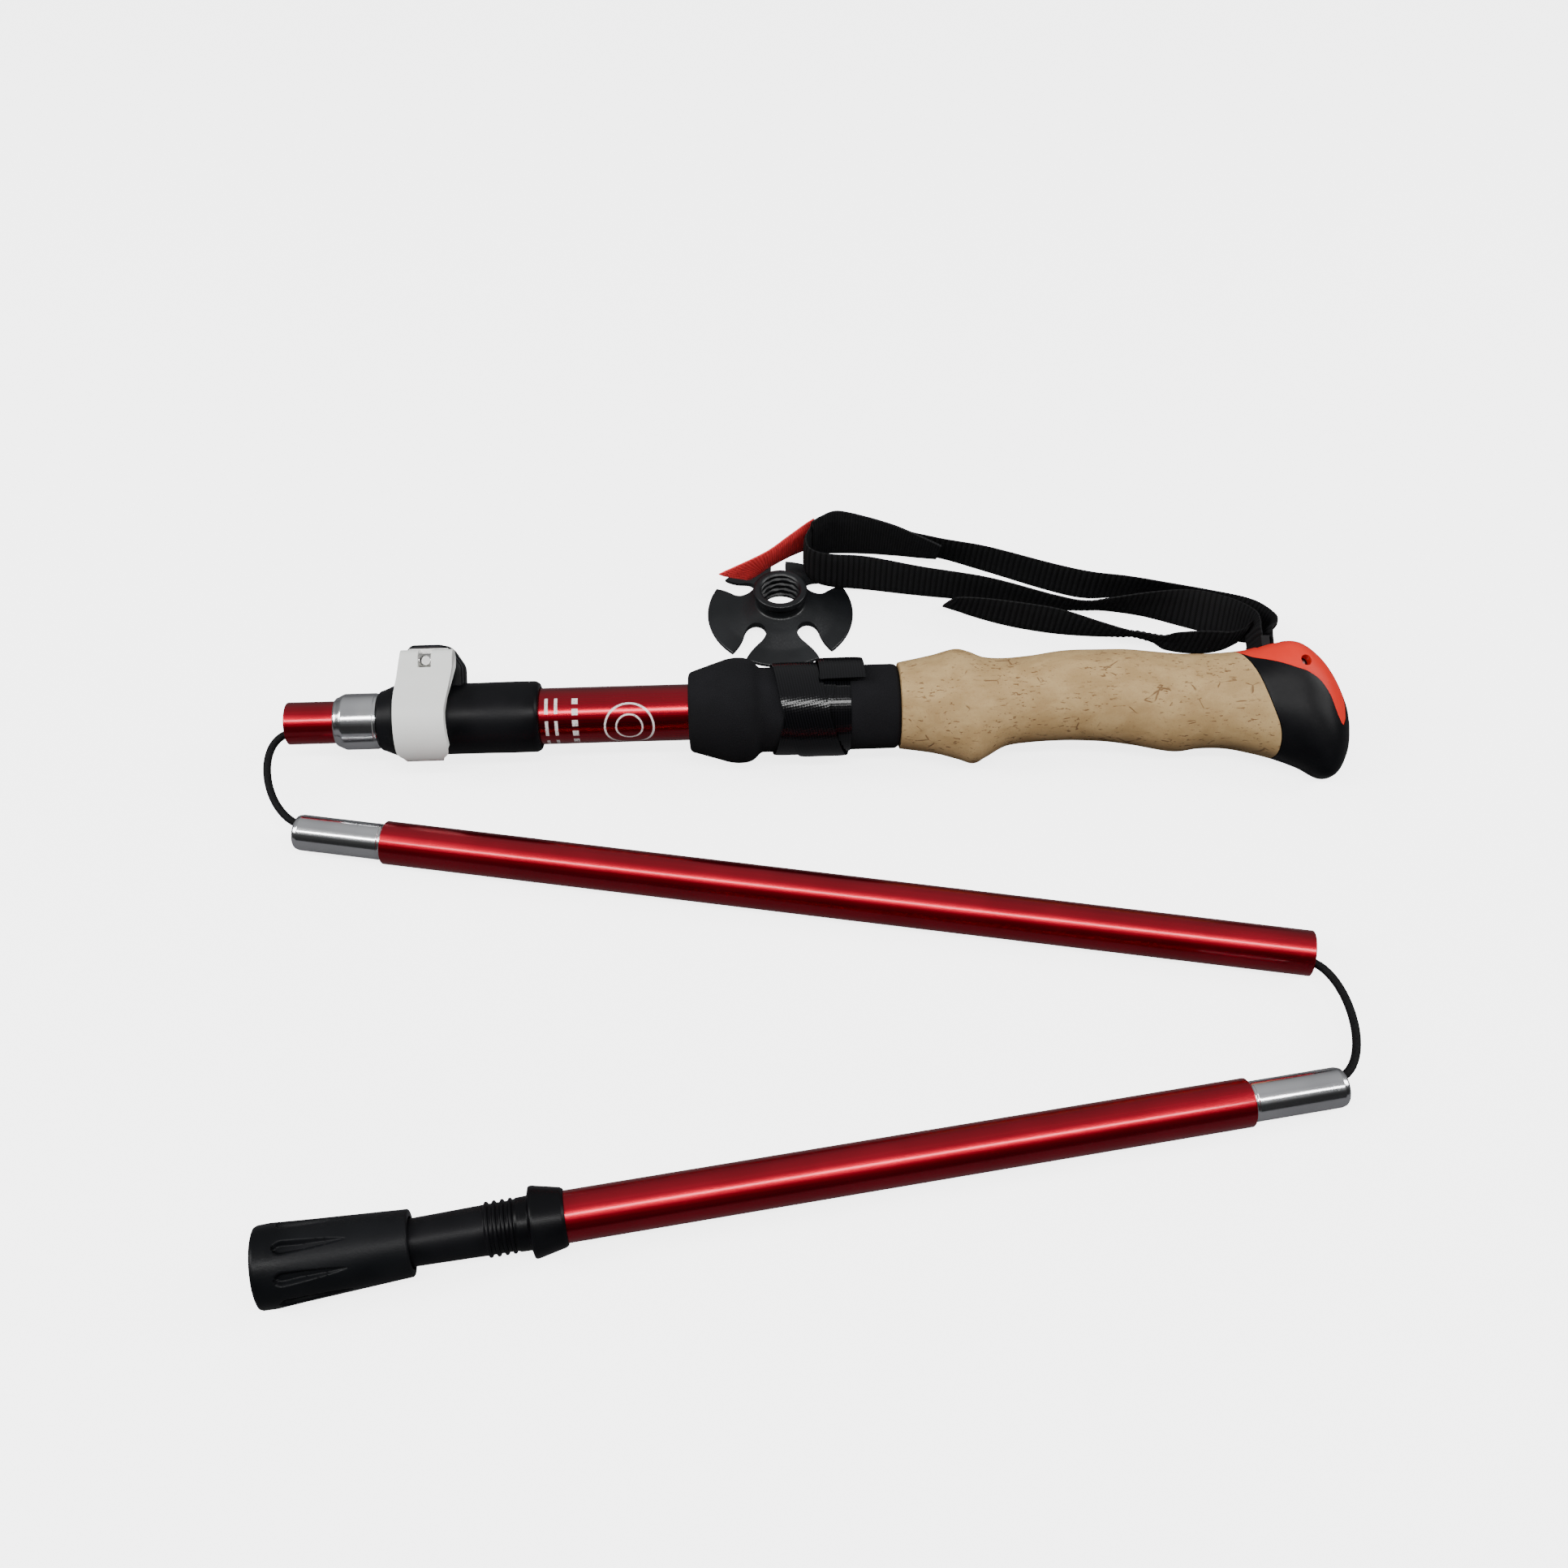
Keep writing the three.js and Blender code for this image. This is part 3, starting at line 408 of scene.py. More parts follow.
MATERIALS = {
    "red_tube": drawn_metal("red_anodised", RED_TONE, RED_DEEP, 0.3, coat=RED_COAT),
    "printed": printed_red("red_anodised_print"),
    "silver_tube": drawn_metal("bare_aluminium", (0.74, 0.745, 0.755), (0.62, 0.625, 0.64), 0.14),
    "steel": drawn_metal("plated_steel", (0.75, 0.74, 0.71), (0.6, 0.59, 0.57), 0.26, line_scale=700),
    "black_plastic": moulded("black_plastic", (0.0028, 0.0028, 0.0034), (0.0055, 0.0055, 0.0065), 0.36),
    "basket_plastic": moulded(
        "basket_plastic", (0.0045, 0.005, 0.0058), (0.009, 0.0098, 0.011), 0.36,
        grain=1100, depth=0.08 * MM, shine=0.35,
    ),
    "white_plastic": moulded("white_plastic", (0.8, 0.81, 0.78), (0.85, 0.86, 0.83), 0.4),
    "red_plastic": moulded("red_plastic", (0.68, 0.022, 0.012), (0.78, 0.032, 0.018), 0.42),
    "rubber": moulded(
        "black_rubber", (0.003, 0.0033, 0.004), (0.006, 0.0064, 0.0074), 0.4, grain=1300, depth=0.06 * MM
    ),
    "foam": foam("eva_foam"),
    "cork": cork("pressed_cork"),
    "webbing": woven(
        "black_webbing", (0.002, 0.002, 0.0022), (0.011, 0.011, 0.012), 0.75, 0.7 * MM, 2.1 * MM
    ),
    "pad": woven(
        "black_pad_cloth", (0.0025, 0.0025, 0.003), (0.0105, 0.0105, 0.0118), 0.7, 0.5 * MM, 1.0 * MM
    ),
    "band": glossy_band("black_band_nylon", (0.0015, 0.0015, 0.0018), 0.9 * MM),
    "red_fabric": woven(
        "red_coated_cloth", (0.75, 0.03, 0.035), (0.9, 0.06, 0.065), 0.6, 0.55 * MM, 1.1 * MM
    ),
    "cord": braided("braided_cord"),
}
MATERIALS = {slot: nodes.material for slot, nodes in MATERIALS.items()}


def smooth(obj, sharp=38):
    """Shade obj smooth, apart from edges sharper than an angle in degrees."""
    obj.data.polygons.foreach_set("use_smooth", np.ones(len(obj.data.polygons), bool))
    obj.data.set_sharp_from_angle(angle=math.radians(sharp))


for part in frame["record"]["subparts"]:
    node = NODES[part["node"]]
    node.data.materials.clear()
    node.data.materials.append(MATERIALS[part["material_slot"]])
    smooth(node, 32)

# --- mesh helpers


def add_object(name, data):
    obj = bpy.data.objects.new(name, data)
    bpy.context.scene.collection.objects.link(obj)
    return obj


def piece(name, vertices, faces, matrix, material, sharp=38):
    """A new object from vertices in millimetres in the frame given by matrix."""
    mesh = bpy.data.meshes.new(name)
    mesh.from_pydata((np.asarray(vertices, float) * MM).tolist(), [], faces)
    mesh.validate()
    obj = add_object(name, mesh)
    obj.matrix_world = matrix
    face_outwards(mesh, merge=True)
    mesh.materials.append(MATERIALS[material])
    smooth(obj, sharp)
    return obj


def face_outwards(mesh, merge):
    """Turn all faces outwards, after merging vertices that coincide if asked."""
    work = bmesh.new()
    work.from_mesh(mesh)
    if merge:
        bmesh.ops.remove_doubles(work, verts=work.verts, dist=1e-7)
    bmesh.ops.recalc_face_normals(work, faces=work.faces)
    work.to_mesh(mesh)
    work.free()


def place(obj, body, node):
    """Put obj on a body, in the place of a node."""
    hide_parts(node)
    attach(obj, body)


def grid_faces(rows, columns, closed_rows=False):
    """Quads over rows of vertices, each row a closed ring, numbered row by row."""
    faces = []
    for i in range(rows if closed_rows else rows - 1):
        here, beyond = i * columns, ((i + 1) % rows) * columns
        for j in range(columns):
            k = (j + 1) % columns
            faces.append((here + j, here + k, beyond + k, beyond + j))
    return faces


def rounded(points, radius, steps=4, closed=True):
    """An outline with its corners rounded to a radius, less where the sides are short."""
    points = [np.array(p, float) for p in points]
    result = []
    for i, corner in enumerate(points):
        if not closed and i in (0, len(points) - 1):
            result.append(corner)
            continue
        before, after = points[i - 1] - corner, points[(i + 1) % len(points)] - corner
        reach = min(radius, 0.45 * np.linalg.norm(before), 0.45 * np.linalg.norm(after))
        start = corner + before / np.linalg.norm(before) * reach
        end = corner + after / np.linalg.norm(after) * reach
        for k in range(steps + 1):
            t = k / steps
            result.append((1 - t) ** 2 * start + 2 * t * (1 - t) * corner + t * t * end)
    return result


def turned(profile, segments=96, shape=None):
    """Vertices and faces of a profile of (x, radius) turned about X. shape(x, r, angle)
    may change the radius. A profile that starts on the axis is closed there."""
    rings = []
    for x, r in profile:
        ring = []
        for k in range(segments):
            angle = TAU * k / segments
            radius = shape(x, r, angle) if shape else r
            ring.append((x, radius * math.cos(angle), radius * math.sin(angle)))
        rings.append(ring)
    vertices = [v for ring in rings for v in ring]
    hollow = profile[0][1] > 1e-6
    return vertices, grid_faces(len(rings), segments, closed_rows=hollow)


def lathe(name, profile, matrix, material, radius=0.4, segments=96, shape=None):
    """A profile turned about X, its corners rounded to a radius."""
    hollow = profile[0][1] > 1e-6
    outline = rounded(profile, radius, closed=hollow)
    vertices, faces = turned(outline, segments, shape)
    return piece(name, vertices, faces, matrix, material)


def prism(name, outline, low, high, matrix, material):
    """An outline in the frame's XY plane, extruded along Z."""
    count = len(outline)
    vertices = [(x, y, low) for x, y in outline] + [(x, y, high) for x, y in outline]
    faces = [(i, (i + 1) % count, count + (i + 1) % count, count + i) for i in range(count)]
    faces += [tuple(range(count)), tuple(range(count, 2 * count))]
    return piece(name, vertices, faces, matrix, material)


def bevel(obj, width, limit, sharp=38):
    """Bevel the edges that turn by more than limit degrees."""
    modifier = obj.modifiers.new("rim", "BEVEL")
    modifier.width = width * MM
    modifier.segments = 3
    modifier.angle_limit = math.radians(limit)
    apply_modifiers(obj)
    smooth(obj, sharp)


def apply_modifiers(obj):
    depsgraph = bpy.context.evaluated_depsgraph_get()
    mesh = bpy.data.meshes.new_from_object(obj.evaluated_get(depsgraph), depsgraph=depsgraph)
    obj.modifiers.clear()
    obj.data = mesh


def boolean(obj, tools, operation="DIFFERENCE"):
    """Cut or join obj with each tool; the tools are removed."""
    for tool in tools:
        modifier = obj.modifiers.new("cut", "BOOLEAN")
        modifier.operation = operation
        modifier.solver = "EXACT"
        modifier.object = tool
        bpy.context.view_layer.update()
        apply_modifiers(obj)
        bpy.data.objects.remove(tool)
    smooth(obj)


def box_tool(low, high, matrix):
    outline = [(low[0], low[1]), (high[0], low[1]), (high[0], high[1]), (low[0], high[1])]
    return prism("tool", outline, low[2], high[2], matrix, "black_plastic")


def rod_tool(x, y, low, high, radius, matrix):
    angles = [TAU * k / 48 for k in range(48)]
    outline = [(x + radius * math.cos(a), y + radius * math.sin(a)) for a in angles]
    return prism("tool", outline, low, high, matrix, "black_plastic")


def in_frame(matrix, *points):
    return [matrix @ (Vector(p) * MM) for p in points]


def catmull(points, per_segment):
    """A smooth curve through rows of values, as a dense array."""
    p = np.asarray(points, float)
    p = np.vstack([2 * p[0] - p[1], p, 2 * p[-1] - p[-2]])
    rows = []
    for i in range(1, len(p) - 2):
        for k in range(per_segment):
            t = k / per_segment
            rows.append(0.5 * (2 * p[i] + (p[i + 1] - p[i - 1]) * t
                               + (2 * p[i - 1] - 5 * p[i] + 4 * p[i + 1] - p[i + 2]) * t ** 2
                               + (3 * p[i] - p[i - 1] - 3 * p[i + 1] + p[i + 2]) * t ** 3))
    rows.append(p[-2])
    return np.array(rows)


def smoothstep(x, low, high):
    t = np.clip((x - low) / (high - low), 0, 1)
    return t * t * (3 - 2 * t)


# --- shaft tubes

SHAFT_OUTER, SHAFT_INNER = 7.15, 6.2


def span(node, matrix):
    """Where a node starts and ends along its frame's X, in millimetres."""
    inverse = matrix.inverted()
    along = [(inverse @ Vector(p)).x for p in node_points(node)]
    return min(along) / MM, max(along) / MM


def red_tube(node, body, matrix, outer=SHAFT_OUTER, inner=SHAFT_INNER, material="red_tube"):
    start, end = span(node, matrix)
    profile = [(start, inner), (start, outer), (end, outer), (end, inner)]
    place(lathe(node + "_skin", profile, matrix, material, radius=0.35), body, node)


red_tube("upper_tube", "handle", CLAMP, 9.55, 8.75, "printed")
red_tube("socket_tube", "telescope", CLAMP)
red_tube("middle_tube", "middle_section", MIDDLE)
red_tube("lower_tube", "lower_section", LOWER)


def ferrule(node, body, matrix, tube):
    """Plug-in end: a tapered lead, a plain barrel and a shallow groove at the tube."""
    start, end = span(node, matrix)
    tube_start = span(tube, matrix)[0]
    outer, inner = 5.95, 4.9
    profile = [
        (start, inner), (start, outer - 0.85), (start + 0.5, outer - 0.35), (start + 1.8, outer),
        (tube_start - 1.5, outer), (tube_start - 1.2, outer - 0.25), (tube_start - 0.7, outer - 0.25),
        (tube_start - 0.4, outer), (end, outer), (end, inner),
    ]
    skin = lathe(node + "_skin", profile, matrix, "silver_tube", radius=0.25)
    place(skin, body, node)


ferrule("middle_ferrule", "middle_section", MIDDLE, "middle_tube")
ferrule("lower_ferrule", "lower_section", LOWER, "lower_tube")

start, end = span("reducer_ferrule", CLAMP)
reducer = lathe("reducer_skin", [
    (start, 7.3), (start, 7.6), (start + 0.4, 8.2), (start + 1.4, 8.6), (start + 3.2, 9.5),
    (start + 13.7, 9.5), (start + 13.9, 9.3), (start + 14.9, 9.3), (start + 14.9, 7.65),
    (end, 7.65), (end, 7.3),
], CLAMP, "silver_tube", radius=0.45)
place(reducer, "telescope", "reducer_ferrule")

start, end = span("inner_tube", CLAMP)
profile = [(start, 7.8), (start, 8.5), (end, 8.5), (end, 7.8)]
inner = lathe("inner_tube_skin", profile, CLAMP, "silver_tube")
boolean(inner, [rod_tool(220.5, 0, 4, 12, 3.2, CLAMP)])
place(inner, "telescope", "inner_tube")

# --- clamp

start, end = span("clamp_collar", CLAMP)
collar = lathe("clamp_collar_skin", [
    (start, 8.65), (start, 10.0), (start + 1.2, 10.3), (start + 5.2, 12), (end - 20, 12), (end - 10, 12.1),
    (end - 1.6, 12.05), (end - 0.3, 11.3), (end, 10.4), (end, 9.75), (start + 1.9, 9.75), (start + 1.9, 8.65),
], CLAMP, "black_plastic", radius=1.1)
EARS = [(41.4, 6), (41.4, 23.4), (43.1, 25.1), (53.3, 25.1), (55.9, 23.6), (59.7, 17.6), (59.7, 6)]
BARREL = np.array([49.0, 19.6, 9.2])
for name, near, far in (("front", 0.8, 4.2), ("back", -6.4, -0.8)):
    ear = prism("ear_" + name, rounded(EARS, 1.4, 6), near, far, CLAMP, "black_plastic")
    bevel(ear, 0.7, 50)
    clearance = lathe("tool", [(30, 0), (30, 9.8), (90, 9.8), (90, 0)], CLAMP, "black_plastic")
    boolean(ear, [clearance])
    boolean(collar, [ear], "UNION")
boolean(collar, [
    box_tool((30, 5, -0.8), (62.5, 30, 0.8), CLAMP),
    rod_tool(BARREL[0], BARREL[1], -20, 20, 1.8, CLAMP),
])
place(collar, "handle", "clamp_collar")


def lever_outline():
    """Side view (height, forward): an eye round the barrel that runs into a curved shell."""
    eye, inside, outside = 3.7, 12.4, 15.6

    def arc(centre, radius, first, last, count):
        angles = np.radians(np.linspace(first, last, count))
        return [(centre[0] + radius * math.cos(a), centre[1] + radius * math.sin(a)) for a in angles]

    points = arc(BARREL[1:], eye, -135, 80, 19)
    start = np.array(points[-1])
    corner = np.array((12.0, 14.6))
    finish = np.array(arc((0, 0), outside, 75, 75, 1)[0])
    for t in np.linspace(0, 1, 7)[1:-1]:
        points.append(tuple((1 - t) ** 2 * start + 2 * t * (1 - t) * corner + t * t * finish))
    points += arc((0, 0), outside, 75, 151, 16)
    tip = arc((0, 0), (inside + outside) / 2, 151, 151, 1)[0]
    points += arc(tip, (outside - inside) / 2, 151, 331, 7)[1:-1]
    points += arc((0, 0), inside, 151, 62, 16)
    return points


def lever_edges(height, forward):
    """Where the lever's two side edges lie along the pole, at a point of its side view."""
    along_shell = math.degrees(math.atan2(forward, height))
    corner = 2.6 * smoothstep(along_shell, 128, 151) ** 2
    left = 38.2 + 2.6 * smoothstep(height, 4, 22) + corner
    right = 55.1 + 3.0 * smoothstep(height, 9, 16.5) + 0.5 * smoothstep(-height, 0, 10) - corner
    return left, right


def lever():
    outline = lever_outline()
    slices = 9
    vertices = []
    for share in np.linspace(0, 1, slices + 1):
        for height, forward in outline:
            left, right = lever_edges(height, forward)
            vertices.append((left + share * (right - left), height, forward))
    faces = grid_faces(slices + 1, len(outline))
    faces += [tuple(range(len(outline))), tuple(slices * len(outline) + i for i in range(len(outline)))]
    obj = piece("clamp_lever_shell", vertices, faces, CLAMP, "white_plastic")
    bore = lathe("tool", [(-6.9, 0), (-6.9, 2.6), (6.9, 2.6), (6.9, 0)],
                 CLAMP @ Matrix.Translation(BARREL * MM), "steel")
    notch = box_tool((BARREL[0] - 2.2, 17.4, 0), (BARREL[0] + 2.2, 30, 20), CLAMP)
    boolean(obj, [bore, notch])
    bevel(obj, 0.55, 55, sharp=40)
    return obj


place(lever(), "lever", "clamp_lever")

barrel = lathe("lever_barrel_skin", [(-6.6, 0), (-6.6, 2.4), (6.6, 2.4), (6.6, 0)],
               CLAMP @ Matrix.Translation(BARREL * MM), "steel", segments=48)
boolean(barrel, [rod_tool(BARREL[0], BARREL[1], -1, 20, 1.75, CLAMP)])
place(barrel, "handle", "lever_barrel")

# --- foam and band



def uneven(x, r, angle):
    """Foam's slight waviness, outside its bore."""
    if r < 11:
        return r
    return r + 0.05 * math.sin(3 * angle + x * 0.13) + 0.04 * math.sin(5 * angle - x * 0.21)


start, end = span("foam_grip", GRIP)
profile = [
    (start, 9.75), (start, 12.6), (start + 0.7, 13.6), (start + 7.5, 15.8), (start + 13.2, 17.6),
    (start + 15.9, 18.0), (start + 19.0, 17.9), (start + 21.6, 17.0), (start + 23.2, 15.3),
    (start + 24.2, 14.4), (end, 14.4), (end, 9.75),
]
sleeve = lathe("foam_sleeve", profile, GRIP, "foam", radius=2.2, segments=128, shape=uneven)
place(sleeve, "handle", "foam_grip")


def ribbon(name, centres, widths, width, thickness, matrix, material, across=9, rib=0.0, slant=0.0):
    """A woven tape: a closed, thin slab swept along centres (mm), with its own length and
    width stored on the mesh. widths are vectors across it; width may be an array of values
    spread evenly along it. rib is the height of ribs across it, 2.1 mm apart. slant moves
    one corner of the last end along the tape."""
    centres, widths = np.asarray(centres, float), np.asarray(widths, float)
    widths /= np.linalg.norm(widths, axis=1)[:, None]
    tangents = np.gradient(centres, axis=0)
    tangents /= np.linalg.norm(tangents, axis=1)[:, None]
    through = np.cross(tangents, widths)
    through /= np.linalg.norm(through, axis=1)[:, None]
    lengths = np.concatenate([[0], np.cumsum(np.linalg.norm(np.diff(centres, axis=0), axis=1))])
    width_keys = np.atleast_1d(np.asarray(width, float))
    share = np.linspace(0, 1, len(centres))
    spans = np.interp(share, np.linspace(0, 1, len(width_keys)), width_keys)
    last_part = smoothstep(lengths, lengths[-1] - 2.5 * abs(slant) - 1, lengths[-1])
    half = np.linspace(-1, 1, across)
    section = [(u, 1.0) for u in half] + [(u, -1.0) for u in half[::-1]]
    vertices, along_values, across_values = [], [], []
    for i, centre in enumerate(centres):
        wave = rib * math.sin(TAU * lengths[i] / 2.1)
        for u, side in section:
            edge = 1 - (1 - 0.3) * abs(u) ** 6
            offset = side * (thickness / 2 * edge + (wave if abs(u) < 0.95 else 0))
            skew = tangents[i] * slant * u * last_part[i]
            vertices.append(centre + widths[i] * u * spans[i] / 2 + through[i] * offset + skew)
            along_values.append(lengths[i] * MM)
            across_values.append(u * spans[i] / 2 * MM)
    count = len(section)
    faces = grid_faces(len(centres), count)
    faces += [tuple(range(count)), tuple((len(centres) - 1) * count + k for k in range(count))]
    mesh = bpy.data.meshes.new(name)
    mesh.from_pydata((np.array(vertices) * MM).tolist(), [], faces)
    for key, values in (("along", along_values), ("across", across_values)):
        mesh.attributes.new(key, "FLOAT", "POINT").data.foreach_set("value", values)
    obj = add_object(name, mesh)
    obj.matrix_world = matrix
    face_outwards(mesh, merge=False)
    mesh.materials.append(MATERIALS[material])
    smooth(obj, 50)
    return obj


def storage_band():
    """Three turns of a nylon band, crossed at the front, and a loose end at the top."""
    # (turn angle in degrees from the top, axial centre, radius)
    keys = [
        (-750, 182, 14.6), (-660, 182, 14.6), (-540, 182, 14.6), (-440, 181.6, 14.7),
        (-350, 179.4, 14.9), (-270, 175.4, 15.2), (-180, 171.4, 15.3), (-100, 170.6, 15.3),
        (-20, 170.8, 15.4), (40, 172.3, 15.9), (90, 174.6, 16.1), (140, 178, 16.1),
        (190, 181.4, 16.0), (270, 184.6, 16.1), (330, 186.2, 16.3), (365, 186.8, 16.8),
        (385, 187, 16.9), (416, 187.2, 17.4),
    ]
    curve = catmull(keys, 14)
    angles = np.radians(curve[:, 0])
    centres = np.stack([curve[:, 1], curve[:, 2] * np.cos(angles), curve[:, 2] * np.sin(angles)], axis=1)
    tangents = np.gradient(centres, axis=0)
    radial = np.stack([np.zeros(len(angles)), np.cos(angles), np.sin(angles)], axis=1)
    across = np.cross(tangents, radial)
    return ribbon("storage_strap", centres, across, 15.2, 0.8, CLAMP, "band", across=13)


place(storage_band(), "handle", "storage_band")

# --- cork grip and head

# Cross-sections of grip and head: (position, top, bottom, half width).
GRIP_STATIONS = [
    (206.8, 14.9, -14.6, 14.6), (218.2, 17.1, -16.5, 15.4), (226.4, 19.1, -18.9, 15.8),
    (231.5, 17.9, -20.5, 15.7), (236, 16, -18.4, 15.2), (243, 15.4, -14.8, 14.4),
    (252, 16, -13.7, 14.2), (264, 17.5, -13.4, 14.4), (276, 17.5, -14.1, 14.8),
    (286, 17.2, -15.6, 15.2), (300, 15.5, -18.4, 15.6), (309, 14.8, -17.6, 15.3),
    (318, 14.7, -17.8, 14.9), (326, 15.3, -19.4, 14.8), (334.5, 17.3, -21.9, 14.7),
    (342.8, 17.6, -25.4, 14.2), (349.5, 13.2, -29.4, 12.2), (354.5, 6.5, -28, 9.4),
    (358.4, -2.3, -21.5, 5.6), (360.3, -9, -14, 1.8),
]
# Seams seen from the side: (position, height). The cap is closed by CAP_RIM.
CORK_SEAM = [
    (317.5, 20), (321.8, 13), (324.3, 8.5), (327.4, 1.9), (330.7, -7.2), (333.1, -13.8),
    (333.8, -19.9), (333, -26), (330, -32),
]
CAP_EDGE = [
    (316, 15), (321.8, 12.6), (325.4, 10.4), (329.7, 9.2), (334.9, 7.7), (339.6, 6), (343, 4.8),
    (346.7, 2.5), (348.8, 0.3), (350.9, -3), (352.3, -6.5), (353.4, -9.6), (354.8, -12.2),
]
CAP_RIM = [
    (355.7, -12.9), (357.0, -10.4), (357.3, -6), (357.0, -2.6), (356.7, 1), (358, 6), (358, 30), (316, 30),
]
PIN = np.array([343.2, 8.7])
GRIP_BORE = 9.75


def signed_power(value, exponent):
    return np.sign(value) * np.abs(value) ** (2 / exponent)


def grip_surface(rows, angles):
    """Grip points for station rows (x, top, bottom, half width) at angles round it."""
    x, top, bottom, half = (rows[..., i] for i in range(4))
    head = smoothstep(x, 300, 338)
    exponent = 2 + 0.8 * head
    height = (top + bottom) / 2 + (top - bottom) / 2 * signed_power(np.sin(angles), exponent)
    across = half * (1 + 0.17 * head * np.sin(angles)) * signed_power(np.cos(angles), exponent)
    return np.stack([x, height, across], axis=-1)


def grip_skin(first, last, count):
    """A grid of grip points between two seams. Each seam gives the station number at
    which every line along the grip starts or ends."""
    dense = catmull(GRIP_STATIONS, 40)
    angles = TAU * np.arange(128) / 128
    numbers = np.arange(len(dense), dtype=float)
    starts, ends = first(dense, angles), last(dense, angles)
    share = np.linspace(0, 1, count)[:, None]
    wanted = starts[None, :] * (1 - share) + ends[None, :] * share
    rows = np.stack([np.interp(wanted, numbers, dense[:, i]) for i in range(4)], axis=-1)
    return grip_surface(rows, angles[None, :])


def at_station(number):
    return lambda dense, angles: np.full(len(angles), float(number))


def at_cork_seam(offset):
    """The seam between cork and head, moved along the grip by offset."""
    seam = catmull(CORK_SEAM, 12)
    heights, positions = seam[::-1, 1], seam[::-1, 0]

    def find(dense, angles):
        result = []
        for angle in angles:
            points = grip_surface(dense, np.full(len(dense), angle))
            past = points[:, 0] - (np.interp(points[:, 1], heights, positions) + offset)
            index = int(np.argmax(past > 0))
            step = past[index] - past[index - 1]
            result.append(index - past[index] / step)
        return np.array(result)

    return find


def inset_ring(ring, depth, shift):
    """A ring drawn in towards the grip's axis and moved along it."""
    moved = ring.copy()
    length = np.hypot(ring[:, 1], ring[:, 2])[:, None]
    moved[:, 1:] *= (length - depth) / length
    moved[:, 0] += shift
    return moved


def cork_grip():
    skin = grip_skin(at_station(0), at_cork_seam(-0.1), 150)
    angles = TAU * np.arange(skin.shape[1]) / skin.shape[1]
    bore = GRIP_BORE * np.stack([np.zeros(len(angles)), np.sin(angles), np.cos(angles)], axis=1)
    first, last = skin[0], skin[-1]
    rings = [
        bore + [206.6, 0, 0], inset_ring(first, 0.9, -0.25), inset_ring(first, 0.35, -0.15), *skin,
        inset_ring(last, 0.3, 0.12), inset_ring(last, 1.2, 0.1), bore + [325, 0, 0],
    ]
    vertices = np.concatenate(rings)
    return piece("cork_body", vertices, grid_faces(len(rings), skin.shape[1], closed_rows=True), GRIP, "cork")


place(cork_grip(), "handle", "cork_grip")


def cap_region(material, gap):
    """The part of the head that the cap takes up, with a gap round it."""
    outline = [(x + gap, y - gap) for x, y in [*catmull(CAP_EDGE, 10), *CAP_RIM]]
    return prism("tool", outline, -30, 30, GRIP, material)


def solid_head():
    """The whole moulded end, from the cork seam to the tip, as one closed body."""
    last = 40 * (len(GRIP_STATIONS) - 1)
    skin = grip_skin(at_cork_seam(0.25), at_station(last), 90)
    centre = np.array([[332.0, 0, 0]])
    tip = skin[-1].mean(axis=0, keepdims=True) + [[0.25, 0, 0]]
    rings = np.concatenate([inset_ring(skin[0], 0.5, 0.0), *skin])
    around = skin.shape[1]
    vertices = np.concatenate([rings, centre, tip])
    count = len(skin) + 1
    faces = grid_faces(count, around)
    for k in range(around):
        following = (k + 1) % around
        faces.append((len(rings), k, following))
        faces.append((len(rings) + 1, (count - 1) * around + k, (count - 1) * around + following))
    return piece("grip_head_shell", vertices, faces, GRIP, "black_plastic", sharp=42)


def pocket_tools():
    """What makes the slot for the strap and the room round its pin."""
    half = 8.8
    return [
        box_tool((328.5, 10, -half), (338, 30, half), GRIP),
        box_tool((328.5, PIN[1] - 3.1, -half), (PIN[0] + 3.2, PIN[1] + 2.9, half), GRIP),
    ]


def head_and_cap():
    head, cap = solid_head(), solid_head()
    cap.name = "head_cap_shell"
    cap.data.materials[0] = MATERIALS["red_plastic"]
    boolean(head, [cap_region("black_plastic", 0.12), *pocket_tools()])
    boolean(cap, [cap_region("red_plastic", 0)], "INTERSECT")
    boolean(cap, [*pocket_tools(), rod_tool(PIN[0], PIN[1], -20, 20, 1.9, GRIP)])
    for obj, slot, node in ((head, "black_plastic", "grip_head"), (cap, "red_plastic", "head_cap")):
        smooth(obj, 42)
        place(obj, "handle", node)


head_and_cap()
pin_axis = GRIP @ Matrix.Translation((*(PIN * MM), 0)) @ Matrix.Rotation(-math.pi / 2, 4, "Y")
profile = [(-8.9, 0), (-8.9, 1.4), (8.9, 1.4), (8.9, 0)]
pin = lathe("strap_pin_rod", profile, pin_axis, "steel", segments=32)
place(pin, "handle", "strap_pin")

# --- tip and foot


def tip_holder():
    """The flared collar, four rings that hold the basket, and the taper to the tip."""
    tube, end, tip_seat = 228, 300, 276
    ridges = []
    for k in range(4):
        at = tube + 13.9 + 2.2 * k
        ridges += [(at, 6.85), (at + 0.3, 7.55), (at + 1.0, 7.55), (at + 1.3, 6.85)]
    profile = [
        (tube, 7.35), (tube, 7.7), (tube + 0.8, 8.2), (tube + 8.6, 9.9), (tube + 9.4, 9.7),
        (tube + 10, 7.4), (tube + 13, 7.3), *ridges, (tube + 24, 6.8), (end - 2, 5.9), (end, 5.2),
        (end, 2.7), (tip_seat, 2.7), (tip_seat, 5.6), (tube + 12.4, 5.6), (tube + 12.4, 7.35),
    ]
    return lathe("tip_holder_skin", profile, LOWER, "black_plastic", radius=0.3)


place(tip_holder(), "lower_section", "tip_holder")


